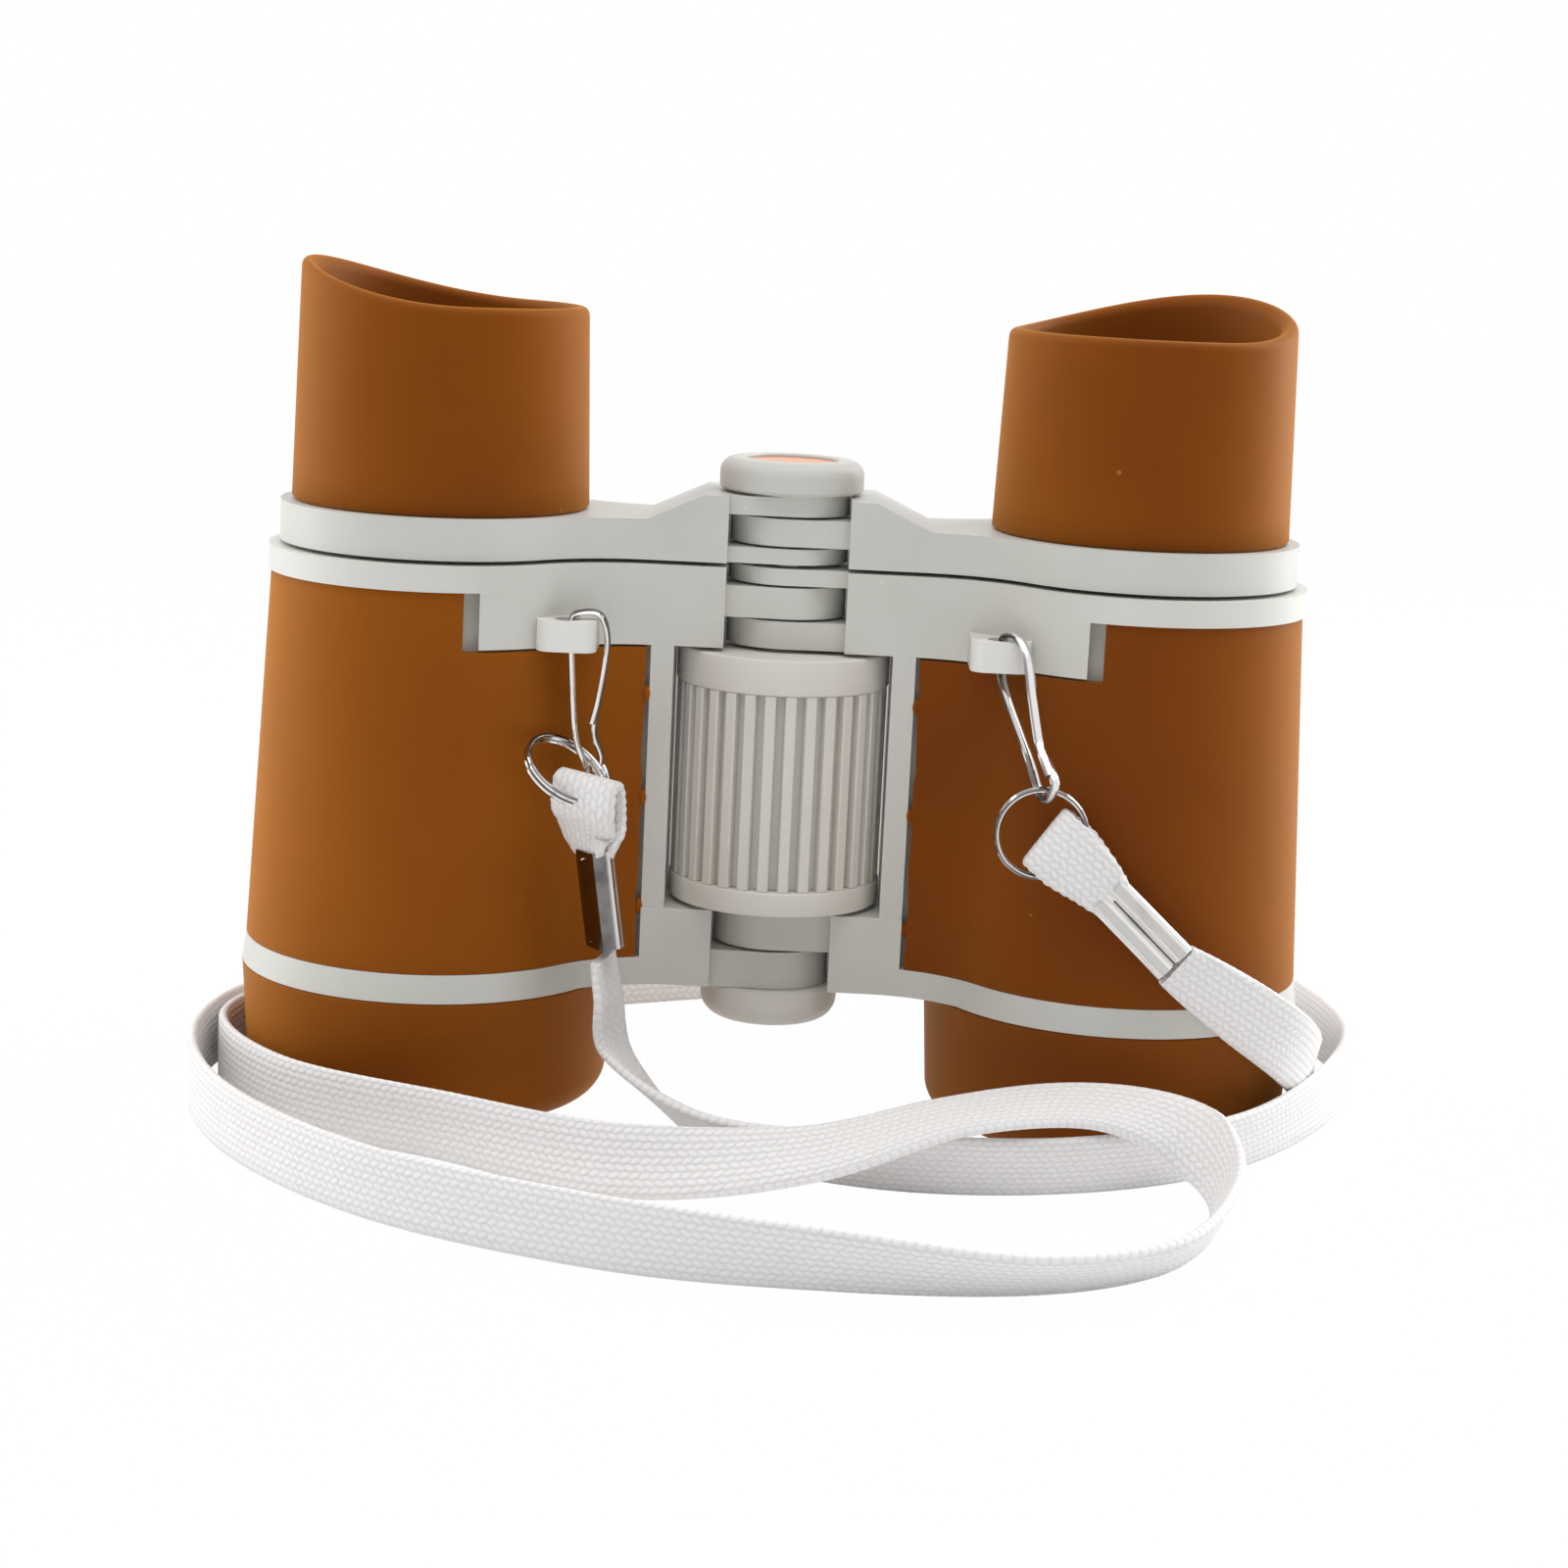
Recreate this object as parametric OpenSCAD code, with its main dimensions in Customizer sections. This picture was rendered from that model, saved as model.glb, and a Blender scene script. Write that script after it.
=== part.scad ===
// Folding toy binoculars standing on their objective ends, with a flat neck strap.
// Z is up along the barrels, X runs across the pair, Y points away from the focus wheel's front.

/* [Barrels] */
// Gap between the two barrels where they are widest, unfolded
barrel_gap = 31.9; // [30:0.1:38]
// Height of the rubber bumper on the objective end
bumper_h = 13.5; // [11:0.5:16]
// Outer radius of the bumper at its top and of the rim band there
bumper_r = 19.05; // [17:0.05:21]
// How much the bumper narrows from its top to its base, above the rounding
bumper_flare = 0.65; // [0.2:0.05:1]
// Thickness of the bumper round the barrel's tube, at its top
bumper_skin = 2.35; // [2:0.05:2.6]
// Rounding of the bumper's foot
bumper_round = 3.4; // [2:0.1:3.8]
// Thickness of the bumper's end wall
bumper_wall = 3; // [2:0.1:3.6]
// Height of the bare rim band above the bumper
rim_h = 2.8; // [2:0.1:4]
// How much the rim band narrows from its foot to its top
rim_taper = 0.4; // [0.2:0.05:0.6]
// Height of the rubber armour on the barrel
armour_h = 37.2; // [34:0.2:42]
// How much the armour narrows from its foot to its top
armour_taper = 1.95; // [1.6:0.05:2.2]
// Thickness of the armour
armour_wall = 1.6; // [1.2:0.1:2]
// Height of the bare collar above the armour
collar_h = 2.5; // [2:0.1:3.5]
// Step from the armour's top out to that collar
collar_step = 0.3; // [0.1:0.05:0.8]

/* [Bridge and hinge] */
// Height of the upper bridge plate, seen beside the focus wheel
plate_h = 8; // [7:0.1:9]
// Where the upper plate ends on the barrel side, measured from the barrel axis
plate_reach = 5.8; // [4:0.1:8]
// Width of the slot between the plate and the armour's corner
plate_slot = 1.2; // [0.6:0.1:2]
// Height of the lower bridge
bridge_h = 7.9; // [7:0.1:9]
// Half thickness of the bridges, front to back
bridge_half = 7; // [6.6:0.1:7.4]
// Radius of the hollow blend from a bridge into its barrel
bridge_blend = 14; // [11:0.5:15]
// Radius of the hinge knuckles
knuckle_r = 5.7; // [5.2:0.1:5.8]
// Height of the left body's tongue between the right body's knuckles
body_tongue_h = 3.1; // [2.4:0.1:3.6]
// Underside of that tongue above the underside of the upper plate
body_tongue_z = 3; // [2.4:0.1:3.2]
// Height of the right body's knuckle in the lower bridge
lower_tongue_h = 4.1; // [3:0.1:4.6]
// Width of the posts beside the focus wheel
post_w = 2.1; // [1.6:0.1:2.6]
// Width of the channel between a post and the armour's edge
channel_w = 0.9; // [0.6:0.1:1.4]
// Depth of that channel below the face of the post
channel_deep = 1.6; // [1:0.1:2]
// Radius of the fixed hinge tube in the upper knuckles
hinge_tube_r = 3.6; // [3.3:0.1:4]
// Length of the hinge tube that reaches into the focus wheel
hinge_tube_reach = 3.6; // [2:0.1:5]
// Radius of the lower hinge pin
hinge_pin_r = 2.6; // [2:0.1:3]
// Length of the hinge pin that reaches into the focus wheel
hinge_pin_reach = 3.4; // [2:0.1:5]

/* [Strap lugs] */
// Distance from the hinge axis to the middle of a lug
lug_x = 21; // [19:0.25:23]
// Width of a lug
lug_w = 5.8; // [5:0.1:6]
// Height of a lug
lug_h = 3; // [2.4:0.1:3.6]
// How far a lug stands out in front of the upper plate
lug_out = 4.7; // [4.2:0.1:5]
// Rounding of a lug's front corners
lug_round = 1.5; // [0.6:0.1:1.6]
// Radius of the hole through a lug
lug_hole_r = 1.3; // [1.2:0.05:1.5]
// Material between the hole and the lug's front
lug_wall = 0.9; // [0.8:0.05:1.1]

/* [Focus wheel] */
// Radius over the ribs of the focus wheel
wheel_r = 10.7; // [10:0.1:11.2]
// Depth of the grooves between the ribs
groove_deep = 0.9; // [0.5:0.05:1.2]
// Number of ribs round the wheel
rib_count = 32; // [24:1:40]
// Width of one rib
rib_w = 1.1; // [0.8:0.05:1.3]
// Height of the plain collar at the top of the wheel
wheel_top_h = 3.6; // [2.5:0.1:4.5]
// Height of the plain collar at the foot of the wheel
wheel_foot_h = 2.5; // [1.8:0.1:3.5]
// Step from the ribs in to the plain collars
wheel_step = 0.35; // [0.1:0.05:0.5]
// Radius of the focus screw
screw_r = 2.4; // [2:0.1:2.6]
// Gap between the lower end of the screw and the hinge pin
screw_end_gap = 2.4; // [1:0.1:4]
// How deep a rib is rooted in the wheel's drum
rib_root = 1; // [0.5:0.1:2]

/* [Eyepieces] */
// Height of an eyepiece arm
arm_h = 4; // [3.2:0.1:5]
// Wall of the ring at the end of an eyepiece arm
arm_ring_wall = 3.5; // [3:0.1:4.2]
// Half thickness of an eyepiece arm at the hinge
arm_half = 6.8; // [6.4:0.1:7.2]
// Height of the raised hub on an eyepiece arm, over the arm's underside
hub_h = 6.6; // [6:0.1:7.4]
// Distance from the hinge axis to where the hub starts to slope down
hub_flat = 8.5; // [7.5:0.1:9.5]
// Distance from the hinge axis to the foot of that slope
hub_foot = 14; // [12:0.1:15]
// Height of the right arm's tongue
arm_tongue_h = 2.7; // [2:0.1:2.9]
// Underside of that tongue above the underside of the arms
arm_tongue_z = 1.8; // [1.4:0.1:2.2]
// Wall of the barrel round an eyepiece tube
barrel_wall = 2.4; // [2:0.1:2.8]
// Wall of an eyepiece tube
eye_tube_wall = 1.5; // [1.2:0.1:2]
// Length of an eyepiece tube inside the barrel
eye_tube_in = 14; // [11:0.5:18]
// Length of an eyepiece tube above its arm
eye_tube_out = 10.6; // [9:0.1:12]
// Width of the flange that the eye lens rests against
eye_ledge = 2.9; // [2:0.1:4]
// Thickness of that flange
eye_flange = 2; // [1.2:0.1:2.6]
// Thickness of the eye lens at its edge
eye_lens_edge = 3; // [2.4:0.1:3.4]
// Radius of the hollows in the eye lens
eye_lens_curve = 45; // [30:1:80]
// Height of the ring that holds the eye lens
eye_ring_h = 1.5; // [1:0.1:2.5]
// Wall of an eyecup at its foot
eyecup_wall = 2.4; // [2:0.05:2.8]
// Wall of an eyecup at its rim
eyecup_rim_wall = 1.8; // [1.4:0.05:2.2]
// Height of an eyecup's low side
eyecup_h = 19.9; // [16:0.1:24]
// Height of the wing above the low side
wing_h = 4.1; // [2:0.1:6]
// Where the wing starts to rise, towards the low side
wing_start = 6; // [2:0.5:9]
// Direction of the left eyecup's wing
left_wing_turn = 172; // [0:1:359]
// Direction of the right eyecup's wing
right_wing_turn = 53; // [0:1:359]

/* [Objectives] */
// Width of the bumper's lip under an objective lens
lens_lip = 0.9; // [0.5:0.1:1.6]
// Width of the barrel's seat behind an objective lens
lens_seat_w = 1.2; // [0.8:0.1:1.4]
// Thickness of an objective lens at its edge
lens_edge = 1.6; // [1.2:0.1:2.4]
// Radius of curvature of an objective lens
lens_curve = 70; // [50:1:120]
// Height of the ring that holds an objective lens
lens_ring_h = 2.4; // [1.8:0.1:3.4]
// Wall of that ring
lens_ring_wall = 1.2; // [0.8:0.1:1.6]
// Wall of the barrel's tube inside the bumper
tube_wall = 2.2; // [1.8:0.1:2.4]

/* [Caps] */
// Radius of the cap on top of the hinge
top_cap_r = 7.2; // [6.4:0.1:7.8]
// Height of the top cap
top_cap_h = 3.2; // [2.6:0.1:4]
// Width of the top cap's flat rim round its coloured disc
disc_rim = 0.9; // [0.4:0.1:2]
// Height of that disc
disc_h = 0.6; // [0.4:0.05:0.8]
// Radius of the cap under the hinge
bottom_cap_r = 7; // [6.4:0.1:7.6]
// Height of the bottom cap
bottom_cap_h = 4; // [3.4:0.1:5]
// Rounding of both caps
cap_round = 1.6; // [0.8:0.1:2]

/* [Strap] */
// Width of the strap
strap_w = 7; // [6:0.1:8]
// Thickness of the strap
strap_t = 1; // [0.8:0.05:1.2]
// Thickness of the hooks' wire
hook_wire = 0.9; // [0.7:0.05:1]
// Mean radius of a split ring
ring_r = 4.3; // [4:0.1:4.6]
// Height of a split ring's two turns together
ring_h = 1.1; // [0.8:0.1:1.3]
// Thickness of a split ring's wire
ring_wire = 0.55; // [0.4:0.05:0.7]
// Width of the strap where it is folded round a split ring
loop_w = 4.6; // [4:0.1:5.4]
// Room between a split ring and the strap folded round it
loop_room = 0.5; // [0.4:0.05:0.6]
// Length over which the two layers of the fold lie together above a ferrule
loop_lead = 1.5; // [0.5:0.1:3]
// Width of a ferrule
ferrule_w = 6; // [5.4:0.1:6.4]
// Thickness of a ferrule
ferrule_t = 3; // [2.6:0.1:3.2]

/* [Clearances] */
// Gap between pieces pressed or glued together
press_gap = 0.04; // [0.02:0.01:0.08]
// Radial gap of a turning fit
turn_gap = 0.08; // [0.04:0.01:0.1]
// Gap between pieces that slide or turn past each other
slide_gap = 0.3; // [0.25:0.05:0.4]
// Gap between neighbouring hinge knuckles
knuckle_gap = 0.25; // [0.2:0.05:0.3]
// Gap between the eyepiece arms and the bodies
bridge_gap = 0.4; // [0.3:0.05:0.6]
// Play at each end of the focus wheel
wheel_play = 0.4; // [0.3:0.05:0.5]

/* [Hidden] */
$fn = 96;
tiny = 0.01;
left = -1;
right = 1;
barrel_x = bumper_r + barrel_gap / 2;

// Heights of the barrel's parts, from the foot up
rim_z = bumper_h;
armour_z = rim_z + rim_h;
collar_z = armour_z + armour_h;
body_top = collar_z + collar_h;
plate_z = body_top - plate_h;
bridge_top = rim_z + bridge_h;
arm_z = body_top + bridge_gap;
arm_top = arm_z + arm_h;
hub_top = arm_z + hub_h;
top_cap_z = hub_top + knuckle_gap;
bottom_cap_top = rim_z - knuckle_gap;
eyecup_z = arm_top + turn_gap;
eye_tube_z = body_top - eye_tube_in;
eye_tube_top = arm_top + eye_tube_out;

// Radii of the barrel's parts, from the foot up
bumper_base_r = bumper_r - bumper_flare;
rim_top_r = bumper_r - rim_taper;
armour_top_r = rim_top_r - armour_taper;
collar_r = armour_top_r + collar_step;

// Radii of the barrel's tube and of the pieces inside it
tube_low_r = bumper_r - bumper_skin;
lens_r = tube_low_r - tube_wall;
bore_r = lens_r - lens_seat_w;
objective_hole_r = lens_r - lens_lip;
eye_tube_r = armour_top_r - armour_wall - barrel_wall - slide_gap;
guide_r = eye_tube_r + slide_gap;
guide_z = eye_tube_z - slide_gap;
lens_seat = bumper_wall + lens_ring_h + lens_edge;
eye_bore_r = eye_tube_r - eye_tube_wall;
eye_hole_r = eye_bore_r - eye_ledge;
eye_lens_top = eye_tube_top - eye_flange;
eye_ring_top = eye_lens_top - eye_lens_edge;
arm_ring_r = eye_tube_r + arm_ring_wall;
eyecup_r = eye_tube_r + eyecup_wall;
eyecup_top_r = eye_tube_r + eyecup_rim_wall;
disc_r = top_cap_r - cap_round - disc_rim;

// Edges of the armour and of the bridge across the pair
bridge_end = knuckle_r + slide_gap;
plate_edge = barrel_x - plate_reach;
window_x = wheel_r + slide_gap;
post_edge = window_x + post_w;
armour_edge = post_edge + channel_w;
web_half = bridge_half - channel_deep;
armour_half = web_half + armour_wall - press_gap;

// Focus wheel, screw and pins
wheel_z = bridge_top + wheel_play;
wheel_top = plate_z - wheel_play;
collar_wheel_r = wheel_r - wheel_step;
screw_top = top_cap_z + top_cap_h / 2;
hinge_tube_z = wheel_top - hinge_tube_reach;
hinge_pin_z = bottom_cap_top - bottom_cap_h / 2;
hinge_pin_top = wheel_z + hinge_pin_reach;
screw_z = hinge_pin_top + screw_end_gap;

// Hinge knuckles of the bodies and of the eyepiece arms
tongue_z = plate_z + body_tongue_z;
tongue_top = tongue_z + body_tongue_h;
lower_split = bridge_top - lower_tongue_h;
arm_tongue_low = arm_z + arm_tongue_z;
arm_tongue_top = arm_tongue_low + arm_tongue_h;

// Front of the upper plate behind a lug, front of the lug and middle of its hole
blend_y = bridge_half + bridge_blend;
blend_x = barrel_x - sqrt(pow(collar_r + bridge_blend, 2) - pow(blend_y, 2));
plate_front = blend_y - sqrt(pow(bridge_blend, 2) - pow(lug_x - blend_x, 2));
lug_front = plate_front + lug_out;
lug_y = -(lug_front - lug_wall - lug_hole_r);

// Strap hardware, placed from the middle of each lug's hole.
// A hook's wire starts at its slit, goes down round the ring, up through the lug and over to the slit.
left_hook = [[3.9, -0.4, -4.4], [3.9, -0.3, -8.5], [4.2, 0.3, -10.9], [3.4, -0.6, -13.2], [2.6, -1.5, -10.9],
    [1.9, -0.9, -8], [0.7, 0, -1], [0.4, 0.1, 3.2], [1.2, 0.2, 4.5], [3.1, 0.2, 4.2], [3.9, 0, 2.2],
    [3.9, -0.3, -3.2]];
right_hook = [[4.3, -6.6, -7.6], [5.3, -8.5, -9.6], [5.6, -8.6, -10.6], [5.5, -7.2, -12.7], [5.1, -5.8, -10.6],
    [3.7, -4.6, -7.2], [0.4, 0, -1], [0.2, 0.1, 3], [0.5, -0.4, 4.3], [1.4, -2, 4.3], [2.3, -3.4, 2.4],
    [3, -4.6, -1.6], [3.9, -6, -6.4]];
// Direction that lies across both hooks' wire all the way round
hook_flat = [0.2, 0.9, 0.3];
// Middle of each ring, how it is turned, where the strap goes round it and the way its width points there
left_ring_at = [0.7, -3.9, -11.2];
left_ring_turn = [0, 40, -39];
left_loop_at = [3.5, -5.2, -13.75];
left_loop_side = [-0.51, -0.85, -0.12];
right_ring_at = [4.5, -7.2, -15];
right_ring_turn = [90, 0, 0];
right_loop_at = [7.6, -7.2, -17.5];
right_loop_side = [0.65, 0, 0.75];
// Upper and lower end of each ferrule, and the way the strap's width points there
left_ferrule_from = [3.4, -4.8, -19.8];
left_ferrule_to = [4.9, -4.6, -29.3];
left_ferrule_side = [-0.3, -0.95, 0];
right_ferrule_from = [11, -8.4, -19.7];
right_ferrule_to = [17.8, -8.9, -26.1];
right_ferrule_side = [0.7, 0, 0.7];

function unit(v) = v / norm(v);
function lug_at(side) = [side * lug_x, lug_y, plate_z];
// Ends of the strap at the ferrules, and the straight lengths beside the ferrules
left_way = unit(left_ferrule_to - left_ferrule_from);
left_end = lug_at(left) + left_ferrule_to;
right_way = unit(right_ferrule_to - right_ferrule_from);
right_end = lug_at(right) + right_ferrule_to + slide_gap * right_way;
strap_lead = 3.5;

// Route of the strap: the middle line's x, y, z, then the way its width points.
// It leaves the left ferrule, lies twice round the barrels and ends at the right ferrule.
on_edge = [0, 0, 1];
strap_route = [
    concat(left_end, left_ferrule_side), concat(left_end + strap_lead * left_way, left_ferrule_side),
    [-14, -17.5, 8.5, -0.45, -0.8, 0.4], [-5, -25.8, 4.2, -0.05, -0.65, 0.75],
    [10, -30.4, 3.6, 0, -0.45, 0.9], [29, -29.2, 3.6, 0.1, -0.4, 0.9], [46.5, -18.8, 3.6, 0.2, -0.25, 0.93],
    concat([59.5, 3, 3.6], on_edge), concat([62, 23, 3.6], on_edge), concat([53, 46, 3.6], on_edge),
    concat([30, 58, 3.6], on_edge), concat([-2, 49, 3.6], on_edge), concat([-32, 33, 3.6], on_edge),
    concat([-52.5, 15.5, 3.6], on_edge), concat([-58, -4, 3.6], on_edge), concat([-52, -25, 3.6], on_edge),
    concat([-36, -43, 3.6], on_edge), [-14, -54, 3.6, 0, -0.05, 1], [7, -58.5, 3.6, 0, -0.4, 0.91],
    [24, -58.5, 3.1, 0.1, -0.7, 0.7], [36, -52, 3, 0.35, -0.6, 0.7], [42.3, -41, 3.8, 0.35, -0.2, 0.9],
    [42.8, -34, 5.8, 0.25, 0.1, 0.96], [38.5, -28.7, 8, 0.25, 0.75, 0.6], [30, -27.3, 9, 0, 0.95, 0.3],
    [18, -31.7, 8.6, 0, 0.97, 0.2], [4, -36.7, 5.8, 0, 0.85, 0.5], [-13, -34.8, 3.8, 0, 0.35, 0.93],
    concat([-30, -26.3, 3.6], on_edge), concat([-47.5, -16.7, 3.6], on_edge),
    concat([-56, 0, 3.6], on_edge), concat([-47.5, 17, 3.6], on_edge), concat([-25, 29.5, 3.6], on_edge),
    concat([-3, 40, 3.6], on_edge), concat([24, 50.5, 3.6], on_edge), concat([47, 41.5, 3.7], on_edge),
    concat([57.5, 20, 3.8], on_edge), [56.4, 0.8, 5.6, 0.15, 0, 0.98], [51, -15, 12.8, 0.45, 0, 0.89],
    concat(right_end, right_ferrule_side)];

// Colours
shell_grey = [0.76, 0.76, 0.73];
rubber_brown = [0.55, 0.31, 0.1];
clear_glass = [0.75, 0.85, 0.9, 0.5];
dark_grey = [0.2, 0.2, 0.2];
disc_orange = [0.9, 0.58, 0.36];
bright_metal = [0.8, 0.8, 0.82];
strap_white = [0.93, 0.92, 0.9];

// Draws its children, made for the right barrel, on either side
module on_side(side) {
    if (side == left) mirror([1, 0, 0]) children();
    else children();
}

module on_barrel(side) translate([side * barrel_x, 0, 0]) children();

// Ring of rectangular section round the Z axis
module tube(r, bore, z0, z1) {
    translate([0, 0, z0]) difference() {
        cylinder(r = r, h = z1 - z0);
        translate([0, 0, -tiny]) cylinder(r = bore, h = z1 - z0 + 2 * tiny);
    }
}

// Outline of a bridge from above: a round end on the barrel, blended into a straight arm to the hinge
module arm_plan(ring, half) {
    span = sqrt(pow(ring + bridge_blend, 2) - pow(half + bridge_blend, 2));
    blend_x = barrel_x - span;
    share = ring / (ring + bridge_blend);
    touch_x = barrel_x - span * share;
    touch_y = (half + bridge_blend) * share;
    translate([barrel_x, 0]) circle(ring);
    difference() {
        polygon([[barrel_x, 0], [touch_x, touch_y], [blend_x, half], [bridge_end, half],
            [bridge_end, -half], [blend_x, -half], [touch_x, -touch_y]]);
        for (s = [-1, 1]) translate([blend_x, s * (half + bridge_blend)]) circle(bridge_blend);
    }
}

module arm_slab(ring, half, z0, z1) translate([0, 0, z0]) linear_extrude(z1 - z0) arm_plan(ring, half);

// Slab that reaches from the hinge towards the barrel, up to far_x
module near_hinge(far_x, z0, z1) {
    translate([0, -barrel_x, z0]) cube([far_x, 2 * barrel_x, z1 - z0]);
}

// Hinge knuckle with the block that joins it to its bridge
module knuckle(z0, z1) {
    translate([0, 0, z0]) cylinder(r = knuckle_r, h = z1 - z0);
    translate([0, -knuckle_r, z0]) cube([bridge_end + tiny, 2 * knuckle_r, z1 - z0]);
}

module pin_hole(r, z0, z1) translate([0, 0, z0 - tiny]) cylinder(r = r, h = z1 - z0 + 2 * tiny);

// Strap lug, from above
module lug_plan() {
    inner = lug_w / 2 - lug_round;
    translate([-lug_w / 2, -lug_front + lug_round]) square([lug_w, lug_front - lug_round - web_half]);
    translate([-inner, -lug_front]) square([2 * inner, lug_round + tiny]);
    for (s = [-1, 1]) translate([s * inner, -lug_front + lug_round]) circle(lug_round);
}

// Half of the grey frame: barrel tube, bridges, posts, knuckles and lug
module body_half(side) {
    tongue = side == left;
    color(shell_grey) on_side(side) difference() {
        union() {
            translate([barrel_x, 0, 0]) rotate_extrude() polygon([
                [0, bumper_wall], [tube_low_r, bumper_wall], [tube_low_r, rim_z], [bumper_r, rim_z],
                [rim_top_r, armour_z], [rim_top_r - armour_wall, armour_z],
                [armour_top_r - armour_wall, collar_z], [collar_r, collar_z], [collar_r, body_top],
                [0, body_top]]);
            arm_slab(rim_top_r, bridge_half, rim_z, armour_z);
            intersection() {
                arm_slab(rim_top_r, bridge_half, rim_z, bridge_top);
                near_hinge(post_edge, rim_z, bridge_top);
            }
            arm_slab(collar_r, bridge_half, collar_z, body_top);
            intersection() {
                arm_slab(collar_r, bridge_half, plate_z, body_top);
                near_hinge(plate_edge, plate_z, body_top);
            }
            translate([window_x, -web_half, rim_z])
                cube([barrel_x - window_x - bore_r, 2 * web_half, collar_z - rim_z]);
            translate([window_x, -bridge_half, rim_z]) cube([post_w, 2 * bridge_half, collar_z - rim_z]);
            if (tongue) {
                knuckle(tongue_z, tongue_top);
                knuckle(bottom_cap_top, lower_split - knuckle_gap);
            } else {
                knuckle(plate_z, tongue_z - knuckle_gap);
                knuckle(tongue_top + knuckle_gap, body_top);
                knuckle(lower_split, bridge_top);
            }
            translate([lug_x, 0, plate_z]) linear_extrude(lug_h) lug_plan();
        }
        translate([barrel_x, 0, 0]) rotate_extrude() polygon([
            [0, bumper_wall - tiny], [lens_r + press_gap, bumper_wall - tiny],
            [lens_r + press_gap, lens_seat], [bore_r, lens_seat], [bore_r, guide_z], [guide_r, guide_z],
            [guide_r, body_top + tiny], [0, body_top + tiny]]);
        pin_hole(hinge_tube_r + (tongue ? press_gap : turn_gap), plate_z, body_top);
        pin_hole(hinge_pin_r + (tongue ? press_gap : turn_gap), bottom_cap_top, bridge_top);
        translate([lug_x, lug_y, plate_z - tiny]) cylinder(r = lug_hole_r, h = lug_h + 2 * tiny);
    }
}

// Rubber sleeve round the barrel, open on the hinge side and notched for the upper plate
module armour(side) {
    skin_low = rim_top_r - armour_wall + press_gap;
    skin_top = armour_top_r - armour_wall + press_gap;
    mid_low = rim_top_r - armour_wall / 2;
    mid_top = armour_top_r - armour_wall / 2;
    color(rubber_brown) on_side(side) difference() {
        union() {
            translate([barrel_x, 0, 0]) rotate_extrude() polygon([
                [skin_low, armour_z], [rim_top_r, armour_z], [armour_top_r, collar_z], [skin_top, collar_z]]);
            difference() {
                arm_slab(skin_top, armour_half, armour_z, collar_z);
                near_hinge(armour_edge, armour_z - tiny, collar_z + tiny);
                translate([barrel_x, 0, armour_z - tiny])
                    cylinder(r1 = mid_low, r2 = mid_top, h = armour_h + 2 * tiny);
            }
        }
        translate([0, -web_half - press_gap, armour_z - tiny])
            cube([barrel_x, 2 * (web_half + press_gap), armour_h + 2 * tiny]);
        near_hinge(plate_edge + plate_slot, plate_z - knuckle_gap, collar_z + tiny);
    }
}

// Rubber foot round the objective end
module bumper(side) {
    arc = [for (a = [0 : 10 : 90])
        [bumper_base_r - bumper_round + bumper_round * sin(a), bumper_round - bumper_round * cos(a)]];
    color(rubber_brown) on_barrel(side) rotate_extrude() polygon(concat(
        [[objective_hole_r, 0]], arc,
        [[bumper_r, rim_z], [tube_low_r + press_gap, rim_z], [tube_low_r + press_gap, bumper_wall],
        [objective_hole_r, bumper_wall]]));
}

// Half section of a lens with a flat rim, from z0 to z1; sense is 1 for swelling faces, -1 for hollow ones
module lens_section(r, clear, z0, z1, curve_r, sense) {
    steps = 8;
    swell = [for (i = [0 : steps]) let (x = clear * i / steps)
        [x, sense * (sqrt(pow(curve_r, 2) - pow(x, 2)) - sqrt(pow(curve_r, 2) - pow(clear, 2)))]];
    polygon(concat([for (p = swell) [p[0], z0 - p[1]]], [[r, z0], [r, z1]],
        [for (i = [steps : -1 : 0]) [swell[i][0], z1 + swell[i][1]]]));
}

module objective_lens(side) {
    clear = lens_r - lens_ring_wall - press_gap;
    color(clear_glass) on_barrel(side) rotate_extrude()
        lens_section(lens_r, clear, lens_seat - lens_edge, lens_seat, lens_curve, 1);
}

module objective_ring(side) {
    color(dark_grey) on_barrel(side)
        tube(lens_r, lens_r - lens_ring_wall, bumper_wall, bumper_wall + lens_ring_h);
}

// Arm that carries an eyepiece, with its ring, hub and hinge knuckles
module eyepiece_arm(side) {
    fork = side == left;
    color(shell_grey) on_side(side) difference() {
        union() {
            arm_slab(arm_ring_r, arm_half, arm_z, arm_top);
            rotate([90, 0, 0]) linear_extrude(2 * arm_half, center = true) polygon([
                [bridge_end, arm_z], [hub_foot, arm_z], [hub_foot, arm_top], [hub_flat, hub_top],
                [bridge_end, hub_top]]);
            if (fork) {
                knuckle(arm_z, arm_tongue_low - knuckle_gap);
                knuckle(arm_tongue_top + knuckle_gap, hub_top);
                translate([0, 0, hub_top]) cylinder(r = knuckle_r, h = knuckle_gap);
            } else {
                knuckle(arm_tongue_low, arm_tongue_top);
            }
        }
        translate([barrel_x, 0, 0]) pin_hole(eye_tube_r + press_gap, arm_z, arm_top);
        pin_hole(screw_r + (fork ? press_gap : turn_gap), arm_z, top_cap_z);
    }
}

// Tube that carries the eye lens, slides in the barrel and carries the eyecup
module eyepiece_tube(side) {
    color(dark_grey) on_barrel(side) {
        difference() {
            translate([0, 0, eye_tube_z]) cylinder(r = eye_tube_r, h = eye_tube_top - eye_tube_z);
            pin_hole(eye_bore_r, eye_tube_z, eye_lens_top);
            pin_hole(eye_hole_r, eye_tube_z, eye_tube_top);
        }
    }
}

module eye_lens(side) {
    color(clear_glass) on_barrel(side) rotate_extrude()
        lens_section(eye_bore_r - press_gap, eye_hole_r, eye_ring_top, eye_lens_top, eye_lens_curve, -1);
}

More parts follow.
